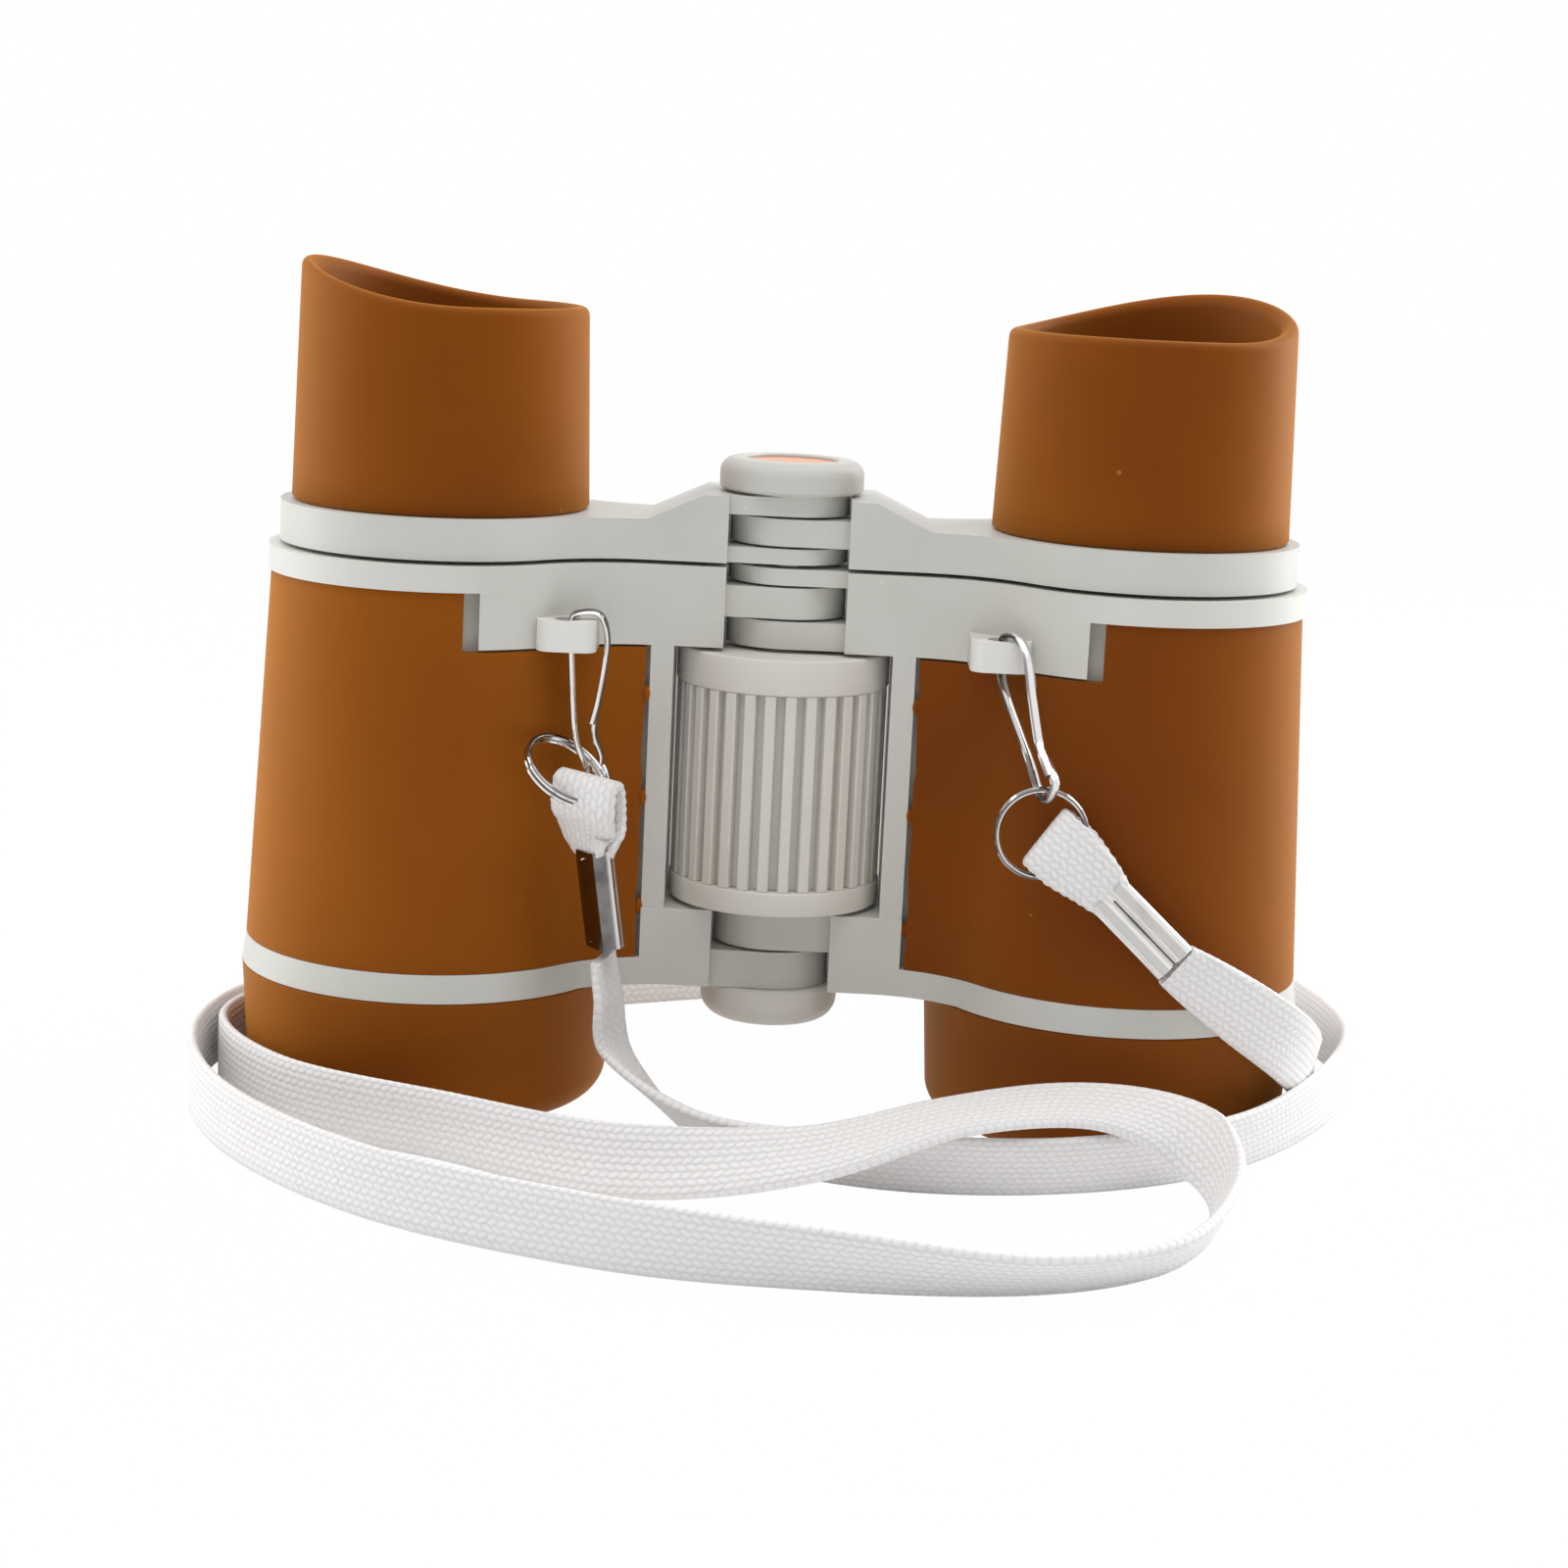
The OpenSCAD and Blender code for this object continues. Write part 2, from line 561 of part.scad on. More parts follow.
module eye_lens_ring(side) {
    outer = eye_bore_r - press_gap;
    color(dark_grey) on_barrel(side) tube(outer, outer - eye_ledge, eye_ring_top - eye_ring_h, eye_ring_top);
}

// Rubber eyecup with a wing that rises on one side
module eyecup(side, wing_turn) {
    low_z = eyecup_z + eyecup_h;
    peak_z = low_z + wing_h;
    rise = eyecup_top_r + wing_start;
    wing_r = (pow(rise, 2) + pow(wing_h, 2)) / (2 * wing_h);
    color(rubber_brown) on_barrel(side) rotate([0, 0, wing_turn]) difference() {
        translate([0, 0, eyecup_z]) cylinder(r1 = eyecup_r, r2 = eyecup_top_r, h = peak_z - eyecup_z);
        pin_hole(eye_tube_r + turn_gap, eyecup_z, peak_z);
        translate([-2 * eyecup_r, -eyecup_r, low_z])
            cube([2 * eyecup_r - wing_start, 2 * eyecup_r, wing_h + tiny]);
        translate([-wing_start, 0, low_z + wing_r]) rotate([90, 0, 0])
            cylinder(r = wing_r, h = 2 * eyecup_r, center = true);
    }
}

// Focus wheel: a ribbed drum with a threaded bore, turning on the hinge tube and the hinge pin
module focus_wheel() {
    rib_z = wheel_z + wheel_foot_h;
    rib_h = wheel_top - wheel_top_h - rib_z;
    core = wheel_r - groove_deep;
    color(shell_grey) difference() {
        union() {
            tube(collar_wheel_r, screw_r + turn_gap, wheel_z, rib_z);
            tube(core, screw_r + turn_gap, rib_z - tiny, rib_z + rib_h + tiny);
            tube(collar_wheel_r, screw_r + turn_gap, rib_z + rib_h, wheel_top);
            intersection() {
                tube(wheel_r, core - rib_root, rib_z, rib_z + rib_h);
                for (i = [0 : rib_count - 1]) rotate([0, 0, (i + 0.5) * 360 / rib_count])
                    translate([core - rib_root, -rib_w / 2, rib_z]) cube([wheel_r, rib_w, rib_h]);
            }
        }
        pin_hole(hinge_tube_r + turn_gap, hinge_tube_z - wheel_play, wheel_top);
        pin_hole(hinge_pin_r + turn_gap, wheel_z, hinge_pin_top + wheel_play);
    }
}

// Screw that the wheel drives up and down; the eyepiece arms hang on its upper end
module focus_screw() {
    color(bright_metal) translate([0, 0, screw_z]) cylinder(r = screw_r, h = screw_top - screw_z);
}

module hinge_tube() {
    color(bright_metal) tube(hinge_tube_r, screw_r + turn_gap, hinge_tube_z, body_top);
}

module hinge_pin() {
    color(bright_metal) translate([0, 0, hinge_pin_z])
        cylinder(r = hinge_pin_r, h = hinge_pin_top - hinge_pin_z);
}

// Half section of a cap standing on z = 0 with a rounded upper edge
module cap_section(r, h) {
    arc = [for (a = [0 : 15 : 90]) [r - cap_round + cap_round * cos(a), h - cap_round + cap_round * sin(a)]];
    polygon(concat([[0, 0], [r, 0]], arc, [[0, h]]));
}

module top_cap() {
    color(shell_grey) difference() {
        translate([0, 0, top_cap_z]) rotate_extrude() cap_section(top_cap_r, top_cap_h);
        pin_hole(screw_r + press_gap, top_cap_z, screw_top);
        translate([0, 0, top_cap_z + top_cap_h - disc_h / 2]) cylinder(r = disc_r + press_gap, h = disc_h);
    }
}

module cap_disc() {
    color(disc_orange) translate([0, 0, top_cap_z + top_cap_h - disc_h / 2]) cylinder(r = disc_r, h = disc_h);
}

module bottom_cap() {
    color(shell_grey) difference() {
        translate([0, 0, bottom_cap_top]) mirror([0, 0, 1]) rotate_extrude()
            cap_section(bottom_cap_r, bottom_cap_h);
        pin_hole(hinge_pin_r + press_gap, hinge_pin_z, bottom_cap_top);
    }
}

// Curve through a list of points: the point at share t of the way from point i to the next
function along(p, i, t) =
    let (a = p[max(i - 1, 0)], b = p[i], c = p[min(i + 1, len(p) - 1)], d = p[min(i + 2, len(p) - 1)])
    0.5 * (2 * b + (c - a) * t + (2 * a - 5 * b + 4 * c - d) * t * t + (3 * b - a - 3 * c + d) * t * t * t);

function curve(p, steps) =
    concat([for (i = [0 : len(p) - 2]) for (j = [0 : steps - 1]) along(p, i, j / steps)], [p[len(p) - 1]]);

function place(row) = [row[0], row[1], row[2]];
function side_of(row) = [row[3], row[4], row[5]];

// Faces of a tube of n-sided rings, closed at both ends
function skin(rings, n) = concat(
    [for (i = [0 : rings - 2]) for (k = [0 : n - 1]) each let (a = i * n + k, b = i * n + (k + 1) % n)
        [[a, a + n, b], [b, a + n, b + n]]],
    [for (k = [1 : n - 2]) [0, k, k + 1]],
    [for (k = [1 : n - 2]) let (e = (rings - 1) * n) [e, e + k + 1, e + k]]);

// Flat section with chamfered edges, as [across, through] pairs
function flat_section(w, t) = [[w / 2, t / 4], [w / 2 - t / 4, t / 2], [-w / 2 + t / 4, t / 2],
    [-w / 2, t / 4], [-w / 2, -t / 4], [-w / 2 + t / 4, -t / 2], [w / 2 - t / 4, -t / 2], [w / 2, -t / 4]];

function round_section(d) = [for (a = [0 : 45 : 315]) d / 2 * [cos(a), sin(a)]];

// Sweeps a section along rows of x, y, z and the way the section's first axis points.
// The end faces stand square to first and to final, where these are given.
module sweep(rows, section, first, final) {
    n = len(section);
    last = len(rows) - 1;
    points = [for (i = [0 : last])
        let (step = unit(place(rows[min(i + 1, last)]) - place(rows[max(i - 1, 0)])),
            way = i == 0 && first != undef ? first : i == last && final != undef ? final : step,
            raw = side_of(rows[i]), across = unit(raw - (raw * way) * way), through = cross(way, across))
        for (s = section) place(rows[i]) + s[0] * across + s[1] * through];
    polyhedron(points, skin(len(rows), n));
}

// Hook of bent wire that hangs in a lug's hole
module hook(side, path) {
    rows = [for (p = path) concat(lug_at(side) + p, hook_flat)];
    color(bright_metal) sweep(curve(rows, 3), round_section(hook_wire));
}

module split_ring(side, at, turn) {
    color(bright_metal) translate(lug_at(side) + at) rotate(turn) rotate_extrude()
        translate([ring_r - ring_wire / 2, -ring_h / 2]) square([ring_wire, ring_h]);
}

// Draws its children at a place, with their Z along way and their X towards across
module aim(place, way, across) {
    tilt = acos(way[2]);
    swing = atan2(way[1], way[0]);
    flat_x = [cos(tilt) * cos(swing), cos(tilt) * sin(swing), -sin(tilt)];
    flat_y = [-sin(swing), cos(swing), 0];
    twist = atan2(across * flat_y, across * flat_x);
    translate(place) rotate([0, tilt, swing]) rotate([0, 0, twist]) children();
}

// Side view of a strap's fold: round at the top, narrowing to half at the distance long
module fold_plan(r, bow, half, long) {
    for (s = [-1, 1]) translate([0, s * bow / 2]) circle(r);
    polygon([[-r, -bow / 2], [r, -bow / 2], [r, bow / 2], [half, long], [-half, long], [-r, bow / 2]]);
}

// End of the strap, folded round the split ring and back to the ferrule's upper face
module strap_loop(side, ring_at, ring_side, from, to, ferrule_side) {
    top = lug_at(side) + ring_at;
    foot = lug_at(side) + from;
    long = norm(foot - top);
    inner = ring_h / 2 + loop_room;
    bow = ring_r - sqrt(pow(ring_r, 2) - pow(loop_w / 2, 2));
    color(strap_white) difference() {
        aim(top, unit(foot - top), ring_side) rotate([90, 0, 90]) linear_extrude(loop_w, center = true)
            difference() {
                fold_plan(inner + strap_t, bow, strap_t, long + ferrule_t);
                fold_plan(inner, bow, tiny, long - loop_lead);
            }
        aim(foot, unit(to - from), ferrule_side) translate([-ferrule_w, -ferrule_w, 0])
            cube(2 * ferrule_w);
    }
}

// Crimped metal sleeve on the strap, drawn between its two ends
module ferrule(side, from, to, across) {
    corner = ferrule_t / 2 - tiny;
    color(bright_metal) aim(lug_at(side) + from, unit(to - from), across) linear_extrude(norm(to - from)) {
        square([ferrule_w - 2 * corner, ferrule_t], center = true);
        for (s = [-1, 1]) translate([s * (ferrule_w / 2 - corner), 0]) circle(corner);
    }
}

module strap() {
    color(strap_white) sweep(curve(strap_route, 2), flat_section(strap_w, strap_t), left_way, -right_way);
}

body_half(left);  // left_body
body_half(right);  // right_body
armour(left);  // left_armour
armour(right);  // right_armour
bumper(left);  // left_bumper
bumper(right);  // right_bumper
objective_lens(left);  // left_objective_lens
objective_lens(right);  // right_objective_lens
objective_ring(left);  // left_objective_ring
objective_ring(right);  // right_objective_ring
eyepiece_arm(left);  // left_eyepiece_arm
eyepiece_arm(right);  // right_eyepiece_arm
eyepiece_tube(left);  // left_eyepiece_tube
eyepiece_tube(right);  // right_eyepiece_tube
eye_lens(left);  // left_eye_lens
eye_lens(right);  // right_eye_lens
eye_lens_ring(left);  // left_eye_lens_ring
eye_lens_ring(right);  // right_eye_lens_ring
eyecup(left, left_wing_turn);  // left_eyecup
eyecup(right, right_wing_turn);  // right_eyecup
focus_wheel();
focus_screw();
hinge_tube();
hinge_pin();
top_cap();
cap_disc();
bottom_cap();
hook(left, left_hook);
hook(right, right_hook);
split_ring(left, left_ring_at, left_ring_turn);  // left_split_ring
split_ring(right, right_ring_at, right_ring_turn);  // right_split_ring
strap_loop(left, left_loop_at, left_loop_side, left_ferrule_from, left_ferrule_to, left_ferrule_side);  // left_strap_loop
strap_loop(right, right_loop_at, right_loop_side, right_ferrule_from, right_ferrule_to, right_ferrule_side);  // right_strap_loop
ferrule(left, left_ferrule_from, left_ferrule_to, left_ferrule_side);  // left_ferrule
ferrule(right, right_ferrule_from, right_ferrule_to, right_ferrule_side);  // right_ferrule
strap();
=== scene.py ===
import math

import bmesh
import bpy
from mathutils import Matrix, Vector


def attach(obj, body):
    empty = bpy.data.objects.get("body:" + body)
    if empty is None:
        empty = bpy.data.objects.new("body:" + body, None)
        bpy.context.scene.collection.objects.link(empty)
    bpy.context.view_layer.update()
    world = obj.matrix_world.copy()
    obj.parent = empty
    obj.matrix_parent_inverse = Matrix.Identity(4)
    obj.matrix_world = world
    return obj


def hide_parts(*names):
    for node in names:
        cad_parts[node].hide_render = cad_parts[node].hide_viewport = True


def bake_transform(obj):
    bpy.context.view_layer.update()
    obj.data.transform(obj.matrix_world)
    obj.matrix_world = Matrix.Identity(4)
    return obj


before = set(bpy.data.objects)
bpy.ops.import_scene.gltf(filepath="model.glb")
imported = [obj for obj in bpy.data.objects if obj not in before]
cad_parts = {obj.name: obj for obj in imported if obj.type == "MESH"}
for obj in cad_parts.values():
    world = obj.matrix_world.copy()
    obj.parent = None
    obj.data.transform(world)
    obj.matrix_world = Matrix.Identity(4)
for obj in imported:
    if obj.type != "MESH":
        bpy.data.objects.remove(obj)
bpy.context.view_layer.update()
scene = bpy.context.scene
mm = 0.001
print("frame loaded:", len(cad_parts), "solids")


def at(x, y, z):  # a place given in millimetres
    return Vector((x, y, z)) * mm


# camera, as fitted to the photograph

cameraView = {
    "place": (1.628, -311.515, 94.019),
    "yaw": -0.00319, "pitch": 0.192524, "roll": 0.047553,
    "focal": 3180.7, "frame": 1600, "sensor": 36, "clip": (0.01, 20),
}


def setCamera(v):
    yaw, pitch, roll = v["yaw"], v["pitch"], v["roll"]
    ahead = math.cos(pitch)
    forward = Vector((math.sin(yaw) * ahead, math.cos(yaw) * ahead, -math.sin(pitch)))
    level = Vector((math.cos(yaw), -math.sin(yaw), 0))
    upright = level.cross(forward)
    right = level * math.cos(roll) + upright * math.sin(roll)
    up = upright * math.cos(roll) - level * math.sin(roll)
    data = bpy.data.cameras.new("photoCamera")
    data.sensor_width = v["sensor"]
    data.lens = v["focal"] * v["sensor"] / v["frame"]
    data.clip_start, data.clip_end = v["clip"]
    camera = bpy.data.objects.new("photoCamera", data)
    turn = Matrix((right, up, -forward)).transposed().to_4x4()
    camera.matrix_world = Matrix.Translation(at(*v["place"])) @ turn
    scene.collection.objects.link(camera)
    scene.camera = camera


setCamera(cameraView)
print("camera set")


# shader wiring

class Wire:  # one socket of a material, with arithmetic
    def __init__(self, tree, socket=None):
        self.tree, self.socket = tree, socket

    def node(self, kind, settings, inputs, out=0):  # any node; gives back one of its outputs
        made = self.tree.nodes.new("ShaderNode" + kind)
        for key, value in settings.items():
            setattr(made, key, value)
        for key, value in inputs.items():
            if isinstance(value, Wire):
                self.tree.links.new(value.socket, made.inputs[key])
            else:
                made.inputs[key].default_value = value
        return Wire(self.tree, made.outputs[out])

    def math(self, operation, *others):
        return self.node("Math", {"operation": operation}, dict(enumerate((self,) + others)))

    def back(self, operation, other):  # the same with this socket second
        return self.node("Math", {"operation": operation}, {0: other, 1: self})

    def __add__(self, other):
        return self.math("ADD", other)

    def __radd__(self, other):
        return self.back("ADD", other)

    def __sub__(self, other):
        return self.math("SUBTRACT", other)

    def __rsub__(self, other):
        return self.back("SUBTRACT", other)

    def __mul__(self, other):
        return self.math("MULTIPLY", other)

    def __rmul__(self, other):
        return self.back("MULTIPLY", other)

    def __truediv__(self, other):
        return self.math("DIVIDE", other)

    def __rtruediv__(self, other):
        return self.back("DIVIDE", other)

    def __gt__(self, other):
        return self.math("GREATER_THAN", other)

    def __lt__(self, other):
        return self.math("LESS_THAN", other)

    def clamp(self):
        return self.node("Clamp", {}, {"Value": self})

    def between(self, low, high):  # smooth step from 0 at low to 1 at high
        return self.node("MapRange", {"interpolation_type": "SMOOTHSTEP"},
                         {"Value": self, "From Min": low, "From Max": high})

    def mix(self, first, second):  # colours, with this socket as the share of the second
        return self.node("Mix", {"data_type": "RGBA"}, {0: self, 6: first, 7: second}, out=2)


def startMaterial(name, constants):
    material = bpy.data.materials.new(name)
    material.use_nodes = True
    shader = material.node_tree.nodes["Principled BSDF"]
    for socket, value in constants.items():
        shader.inputs[socket].default_value = value
    return material, Wire(material.node_tree), shader


def feed(wire, shader, sockets):
    for socket, value in sockets.items():
        wire.tree.links.new(value.socket, shader.inputs[socket])


def bumpFrom(wire, height, strength, distance):
    inputs = {"Strength": strength, "Distance": distance * mm, "Height": height}
    return wire.node("Bump", {}, inputs, out="Normal")


def objectPlace(wire):
    return wire.node("TexCoord", {}, {}, out="Object")


def axes(wire, place):
    return [wire.node("SeparateXYZ", {}, {"Vector": place}, out=axis) for axis in ("X", "Y", "Z")]


def meshMark(wire, name):  # a number that the mesh keeps at each point
    return wire.node("Attribute", {"attribute_name": name}, {}, out="Fac")


def noise(wire, place, scale, detail):
    return wire.node("TexNoise", {}, {"Vector": place, "Scale": scale, "Detail": detail})


cloudy = (0.3, 0.7)  # noise levels between which a tone drifts
fewFlecks = {"scale": 0.31, "limit": 0.62}  # a coarser noise that thins the flecks out


def flecks(wire, place, scale, size):  # sparse round marks, 1 inside each
    far = wire.node("TexVoronoi", {"feature": "F1"}, {"Vector": place, "Scale": scale}, out="Distance")
    few = noise(wire, place, scale * fewFlecks["scale"], 0.0) > fewFlecks["limit"]
    return (far < size) * few


# the barrels' rubber comes as lit and shaded copies of one tone: the right barrel's darker tone is painted
# shade
rubberTones = {
    "left": {"light": (0.272, 0.072, 0.002, 1), "dark": (0.232, 0.055, 0.002, 1)},
    "right": {"light": (0.19, 0.042, 0.002, 1), "dark": (0.154, 0.031, 0.001, 1)},
    "eyecup": {"light": (0.203, 0.048, 0.001, 1), "dark": (0.168, 0.036, 0.001, 1)},
}
rubberLook = {
    "specular": 0.07, "sheen": 0.5, "sheenRough": 0.6, "bloom": (1, 0.45, 0.09, 1),
    "cloudScale": 38, "skinScale": 2400, "swellScale": 160, "fleckScale": 210, "fleckSize": 0.055,
    "fleck": (0.42, 0.2, 0.06, 1), "fleckShare": 0.55, "rough": 0.47, "cloudRough": 0.08, "skinRough": 0.06,
    "swellHeight": 3.0, "fleckHeight": 2.0, "bump": (0.22, 0.05),  # strength, depth in mm
}


def rubberFinish(name, tone, r):  # soft matt rubber with cloudy tone, a fine skin and a few moulding specks
    material, wire, shader = startMaterial(name, {
        "Specular IOR Level": r["specular"], "Sheen Weight": r["sheen"],
        "Sheen Roughness": r["sheenRough"], "Sheen Tint": r["bloom"]})
    place = objectPlace(wire)
    cloud = noise(wire, place, r["cloudScale"], 3).between(*cloudy)
    skin = noise(wire, place, r["skinScale"], 2)
    swell = noise(wire, place, r["swellScale"], 2)
    fleck = flecks(wire, place, r["fleckScale"], r["fleckSize"])
    colour = cloud.mix(tone["dark"], tone["light"])
    height = skin + swell * r["swellHeight"] + fleck * r["fleckHeight"]
    feed(wire, shader, {
        "Base Color": (fleck * r["fleckShare"]).mix(colour, r["fleck"]),
        "Roughness": cloud * r["cloudRough"] + r["rough"] + skin * r["skinRough"],
        "Normal": bumpFrom(wire, height, *r["bump"]),
    })
    return material


plasticTones = {
    "shell": {"rough": 0.36, "light": (0.65, 0.645, 0.605, 1), "dark": (0.6, 0.595, 0.55, 1),
              "fleck": (0.72, 0.72, 0.69, 1), "zone": (0.8, 0.793, 0.755, 1)},
    "arm": {"rough": 0.36, "light": (0.64, 0.64, 0.605, 1), "dark": (0.59, 0.59, 0.55, 1),
            "fleck": (0.74, 0.74, 0.71, 1)},
    # the wheel's zone tone is painted shade on the floors between its ribs
    "wheel": {"rough": 0.4, "light": (0.76, 0.735, 0.68, 1), "dark": (0.71, 0.685, 0.63, 1),
              "fleck": (0.82, 0.8, 0.75, 1), "zone": (0.62, 0.595, 0.54, 1)},
    "disc": {"rough": 0.36, "light": (0.8, 0.42, 0.25, 1), "dark": (0.75, 0.375, 0.215, 1),
             "fleck": (0.9, 0.6, 0.42, 1)},
    "dark": {"rough": 0.5, "light": (0.03, 0.028, 0.026, 1), "dark": (0.018, 0.017, 0.016, 1),
             "fleck": (0.06, 0.06, 0.06, 1)},
}
plasticLook = {
    "specular": 0.42, "cloudScale": 60, "fineScale": 1500, "rippleScale": 120,
    "fleckScale": 330, "fleckSize": 0.07, "fleckShare": 0.6, "fineRough": 0.08, "cloudRough": 0.05,
    "rippleHeight": 4.0, "fineHeight": 0.5, "bump": (0.14, 0.05),  # strength, depth in mm
}
palePlaces = {  # in metres, as Object coordinates are
    "lug": {"side": 0.02395, "front": -0.01285, "low": 0.0475, "high": 0.0512},
    "collar": {"sides": (0.026, 0.033), "low": 0.0534, "share": 0.3},
}
ribPlaces = {"depth": (0.0096, 0.0104), "low": 0.0243, "high": 0.044}


def paleZone(wire, place):  # strap lugs painted paler, a painted highlight where they stand out into the light; collars drawn a little paler than the plates behind them
    x, y, z = axes(wire, place)
    side, l, c = x.math("ABSOLUTE"), palePlaces["lug"], palePlaces["collar"]
    lug = (side < l["side"]) * (y < l["front"]) * (z > l["low"]) * (z < l["high"])
    collar = side.between(*c["sides"]) * (z > c["low"]) * c["share"]
    return lug.math("MAXIMUM", collar)


def ribFloors(wire, place):  # the shaded floors between the wheel's ribs
    x, y, z = axes(wire, place)
    out = (x * x + y * y).math("SQRT")
    return (1.0 - out.between(*ribPlaces["depth"])) * (z > ribPlaces["low"]) * (z < ribPlaces["high"])


def plasticFinish(name, tone, p, zone=None):  # moulded plastic with pale flecks and a faint ripple
    material, wire, shader = startMaterial(name, {"Specular IOR Level": p["specular"]})
    place = objectPlace(wire)
    cloud = noise(wire, place, p["cloudScale"], 2).between(*cloudy)
    fine = noise(wire, place, p["fineScale"], 2)
    ripple = noise(wire, place, p["rippleScale"], 1)
    fleck = flecks(wire, place, p["fleckScale"], p["fleckSize"])
    colour = (fleck * p["fleckShare"]).mix(cloud.mix(tone["dark"], tone["light"]), tone["fleck"])
    # the zone mixes in the tone's zone colour: a painted highlight on the shell's lugs, painted shade on the
    # wheel's rib floors
    if zone:
        colour = zone(wire, place).mix(colour, tone["zone"])
    feed(wire, shader, {
        "Base Color": colour,
        "Roughness": tone["rough"] + fine * p["fineRough"] + cloud * p["cloudRough"],
        "Normal": bumpFrom(wire, ripple * p["rippleHeight"] + fine * p["fineHeight"] + fleck, *p["bump"]),
    })
    return material


# the dark tone is a painted reflection of dark surroundings down one side of the metal, and also the tone of
# the dull spots
metalLook = {
    "bright": (0.8, 0.79, 0.78, 1), "tarnish": (0.1, 0.095, 0.09, 1), "darkSide": (0.15, 0.75),
    "spotScale": 420, "spots": (0.45, 0.75), "spotShare": 0.12, "rough": 0.1, "spotRough": 0.16,
    "grainScale": 900, "bump": (0.1, 0.03),
}


def metalFinish(name, depth, m):  # bright metal with a fine grain, dull spots and a painted dark reflection down one side
    material, wire, shader = startMaterial(name, {"Metallic": 1.0})
    place = objectPlace(wire)
    dull = noise(wire, place, m["spotScale"], 3).between(*m["spots"])
    turn = meshMark(wire, "across").math("COSINE")
    # painted reflection: a dark band round the wire where the across mark points, scaled by depth, plus the
    # random dull spots
    tarnish = (turn.between(*m["darkSide"]) * depth + dull * m["spotShare"]).clamp()
    feed(wire, shader, {
        "Base Color": tarnish.mix(m["bright"], m["tarnish"]),
        "Roughness": dull * m["spotRough"] + m["rough"],
        "Normal": bumpFrom(wire, noise(wire, place, m["grainScale"], 2), *m["bump"]),
    })
    return material


lensLook = {
    "tint": (0.9, 0.95, 0.97, 1), "bend": 1.49, "smearScale": 130, "smear": (0.4, 0.8),
    "rough": 0.01, "smearRough": 0.04,
}


def lensFinish(name, l):  # clear plastic with a faint smear
    material, wire, shader = startMaterial(name, {
        "Base Color": l["tint"], "Transmission Weight": 1.0, "IOR": l["bend"]})
    smear = noise(wire, objectPlace(wire), l["smearScale"], 3).between(*l["smear"])
    feed(wire, shader, {"Roughness": smear * l["smearRough"] + l["rough"]})
    return material


braid = {
    "stitch": 0.98, "row": 0.7, "thread": (0.88, 0.87, 0.865, 1), "gap": (0.79, 0.777, 0.77, 1),
    "specular": 0.2, "sheen": 0.2, "sheenRough": 0.6,
    "firstLane": 40.5, "slant": 0.42, "padLong": 3.0, "padWide": 3.4, "strandLong": 4.0, "strandWide": 3.0,
    "fuzzScale": 3200, "shade": (0.2, 0.75), "padShare": 0.9, "fuzzShare": 0.1, "rough": 0.78,
    "fuzzRough": 0.12, "strandHeight": 0.06, "fuzzHeight": 0.12, "bump": (0.75, 0.13),  # strength, depth in mm
}


def braidFinish(name, b):  # staggered slanting plaits, laid out by the strap's own length and width
    material, wire, shader = startMaterial(name, {
        "Specular IOR Level": b["specular"], "Sheen Weight": b["sheen"], "Sheen Roughness": b["sheenRough"]})
    along = meshMark(wire, "along") / b["stitch"]
    across = meshMark(wire, "across") / b["row"] + b["firstLane"]
    lane = across.math("FLOOR")
    odd = lane.math("MODULO", 2.0)
    v = across - lane - 0.5
    lean = 1.0 - 2.0 * odd
    u = (along + odd * 0.5 + lean * v * b["slant"]).math("FRACT") - 0.5
    pad = (1.0 - (u * u * b["padLong"] + v * v * b["padWide"])).clamp()
    strand = (along * b["strandLong"] + across * b["strandWide"] * lean).math("SINE") * 0.5 + 0.5
    fuzz = noise(wire, objectPlace(wire), b["fuzzScale"], 3)
    # painted shade: the hollows between the plaits take the darker gap tone, with a little random fuzz
    shade = (pad.between(*b["shade"]) * b["padShare"] + fuzz * b["fuzzShare"]).clamp()
    height = pad + strand * b["strandHeight"] + fuzz * b["fuzzHeight"]
    feed(wire, shader, {
        "Base Color": shade.mix(b["gap"], b["thread"]),
        "Roughness": b["rough"] + fuzz * b["fuzzRough"],
        "Normal": bumpFrom(wire, height, *b["bump"]),
    })
    return material


finishes = {
    # left and right rubber differ only by painted shade on the right barrel
    "leftRubber": rubberFinish("leftRubber", rubberTones["left"], rubberLook),
    "rightRubber": rubberFinish("rightRubber", rubberTones["right"], rubberLook),
    "eyecupRubber": rubberFinish("eyecupRubber", rubberTones["eyecup"], rubberLook),
    "shell": plasticFinish("shellPlastic", plasticTones["shell"], plasticLook, paleZone),
    "arm": plasticFinish("armPlastic", plasticTones["arm"], plasticLook),
    "wheel": plasticFinish("wheelPlastic", plasticTones["wheel"], plasticLook, ribFloors),
    "disc": plasticFinish("discPlastic", plasticTones["disc"], plasticLook),
    "dark": plasticFinish("darkPlastic", plasticTones["dark"], plasticLook),
    # 0.85 is how dark the painted reflection side of the nickel goes; plain steel has none
    "nickel": metalFinish("nickelWire", 0.85, metalLook),
    "steel": metalFinish("plainSteel", 0.0, metalLook),
    "lens": lensFinish("clearLens", lensLook),
    "braid": braidFinish("whiteBraid", braid),
}
print("finishes made:", len(finishes))


# mesh helpers

weld = 2e-6  # metres within which points become one
seamWeld = 1e-7  # the same along a seam or a cut
nothing = 1e-9  # lengths below this count as zero


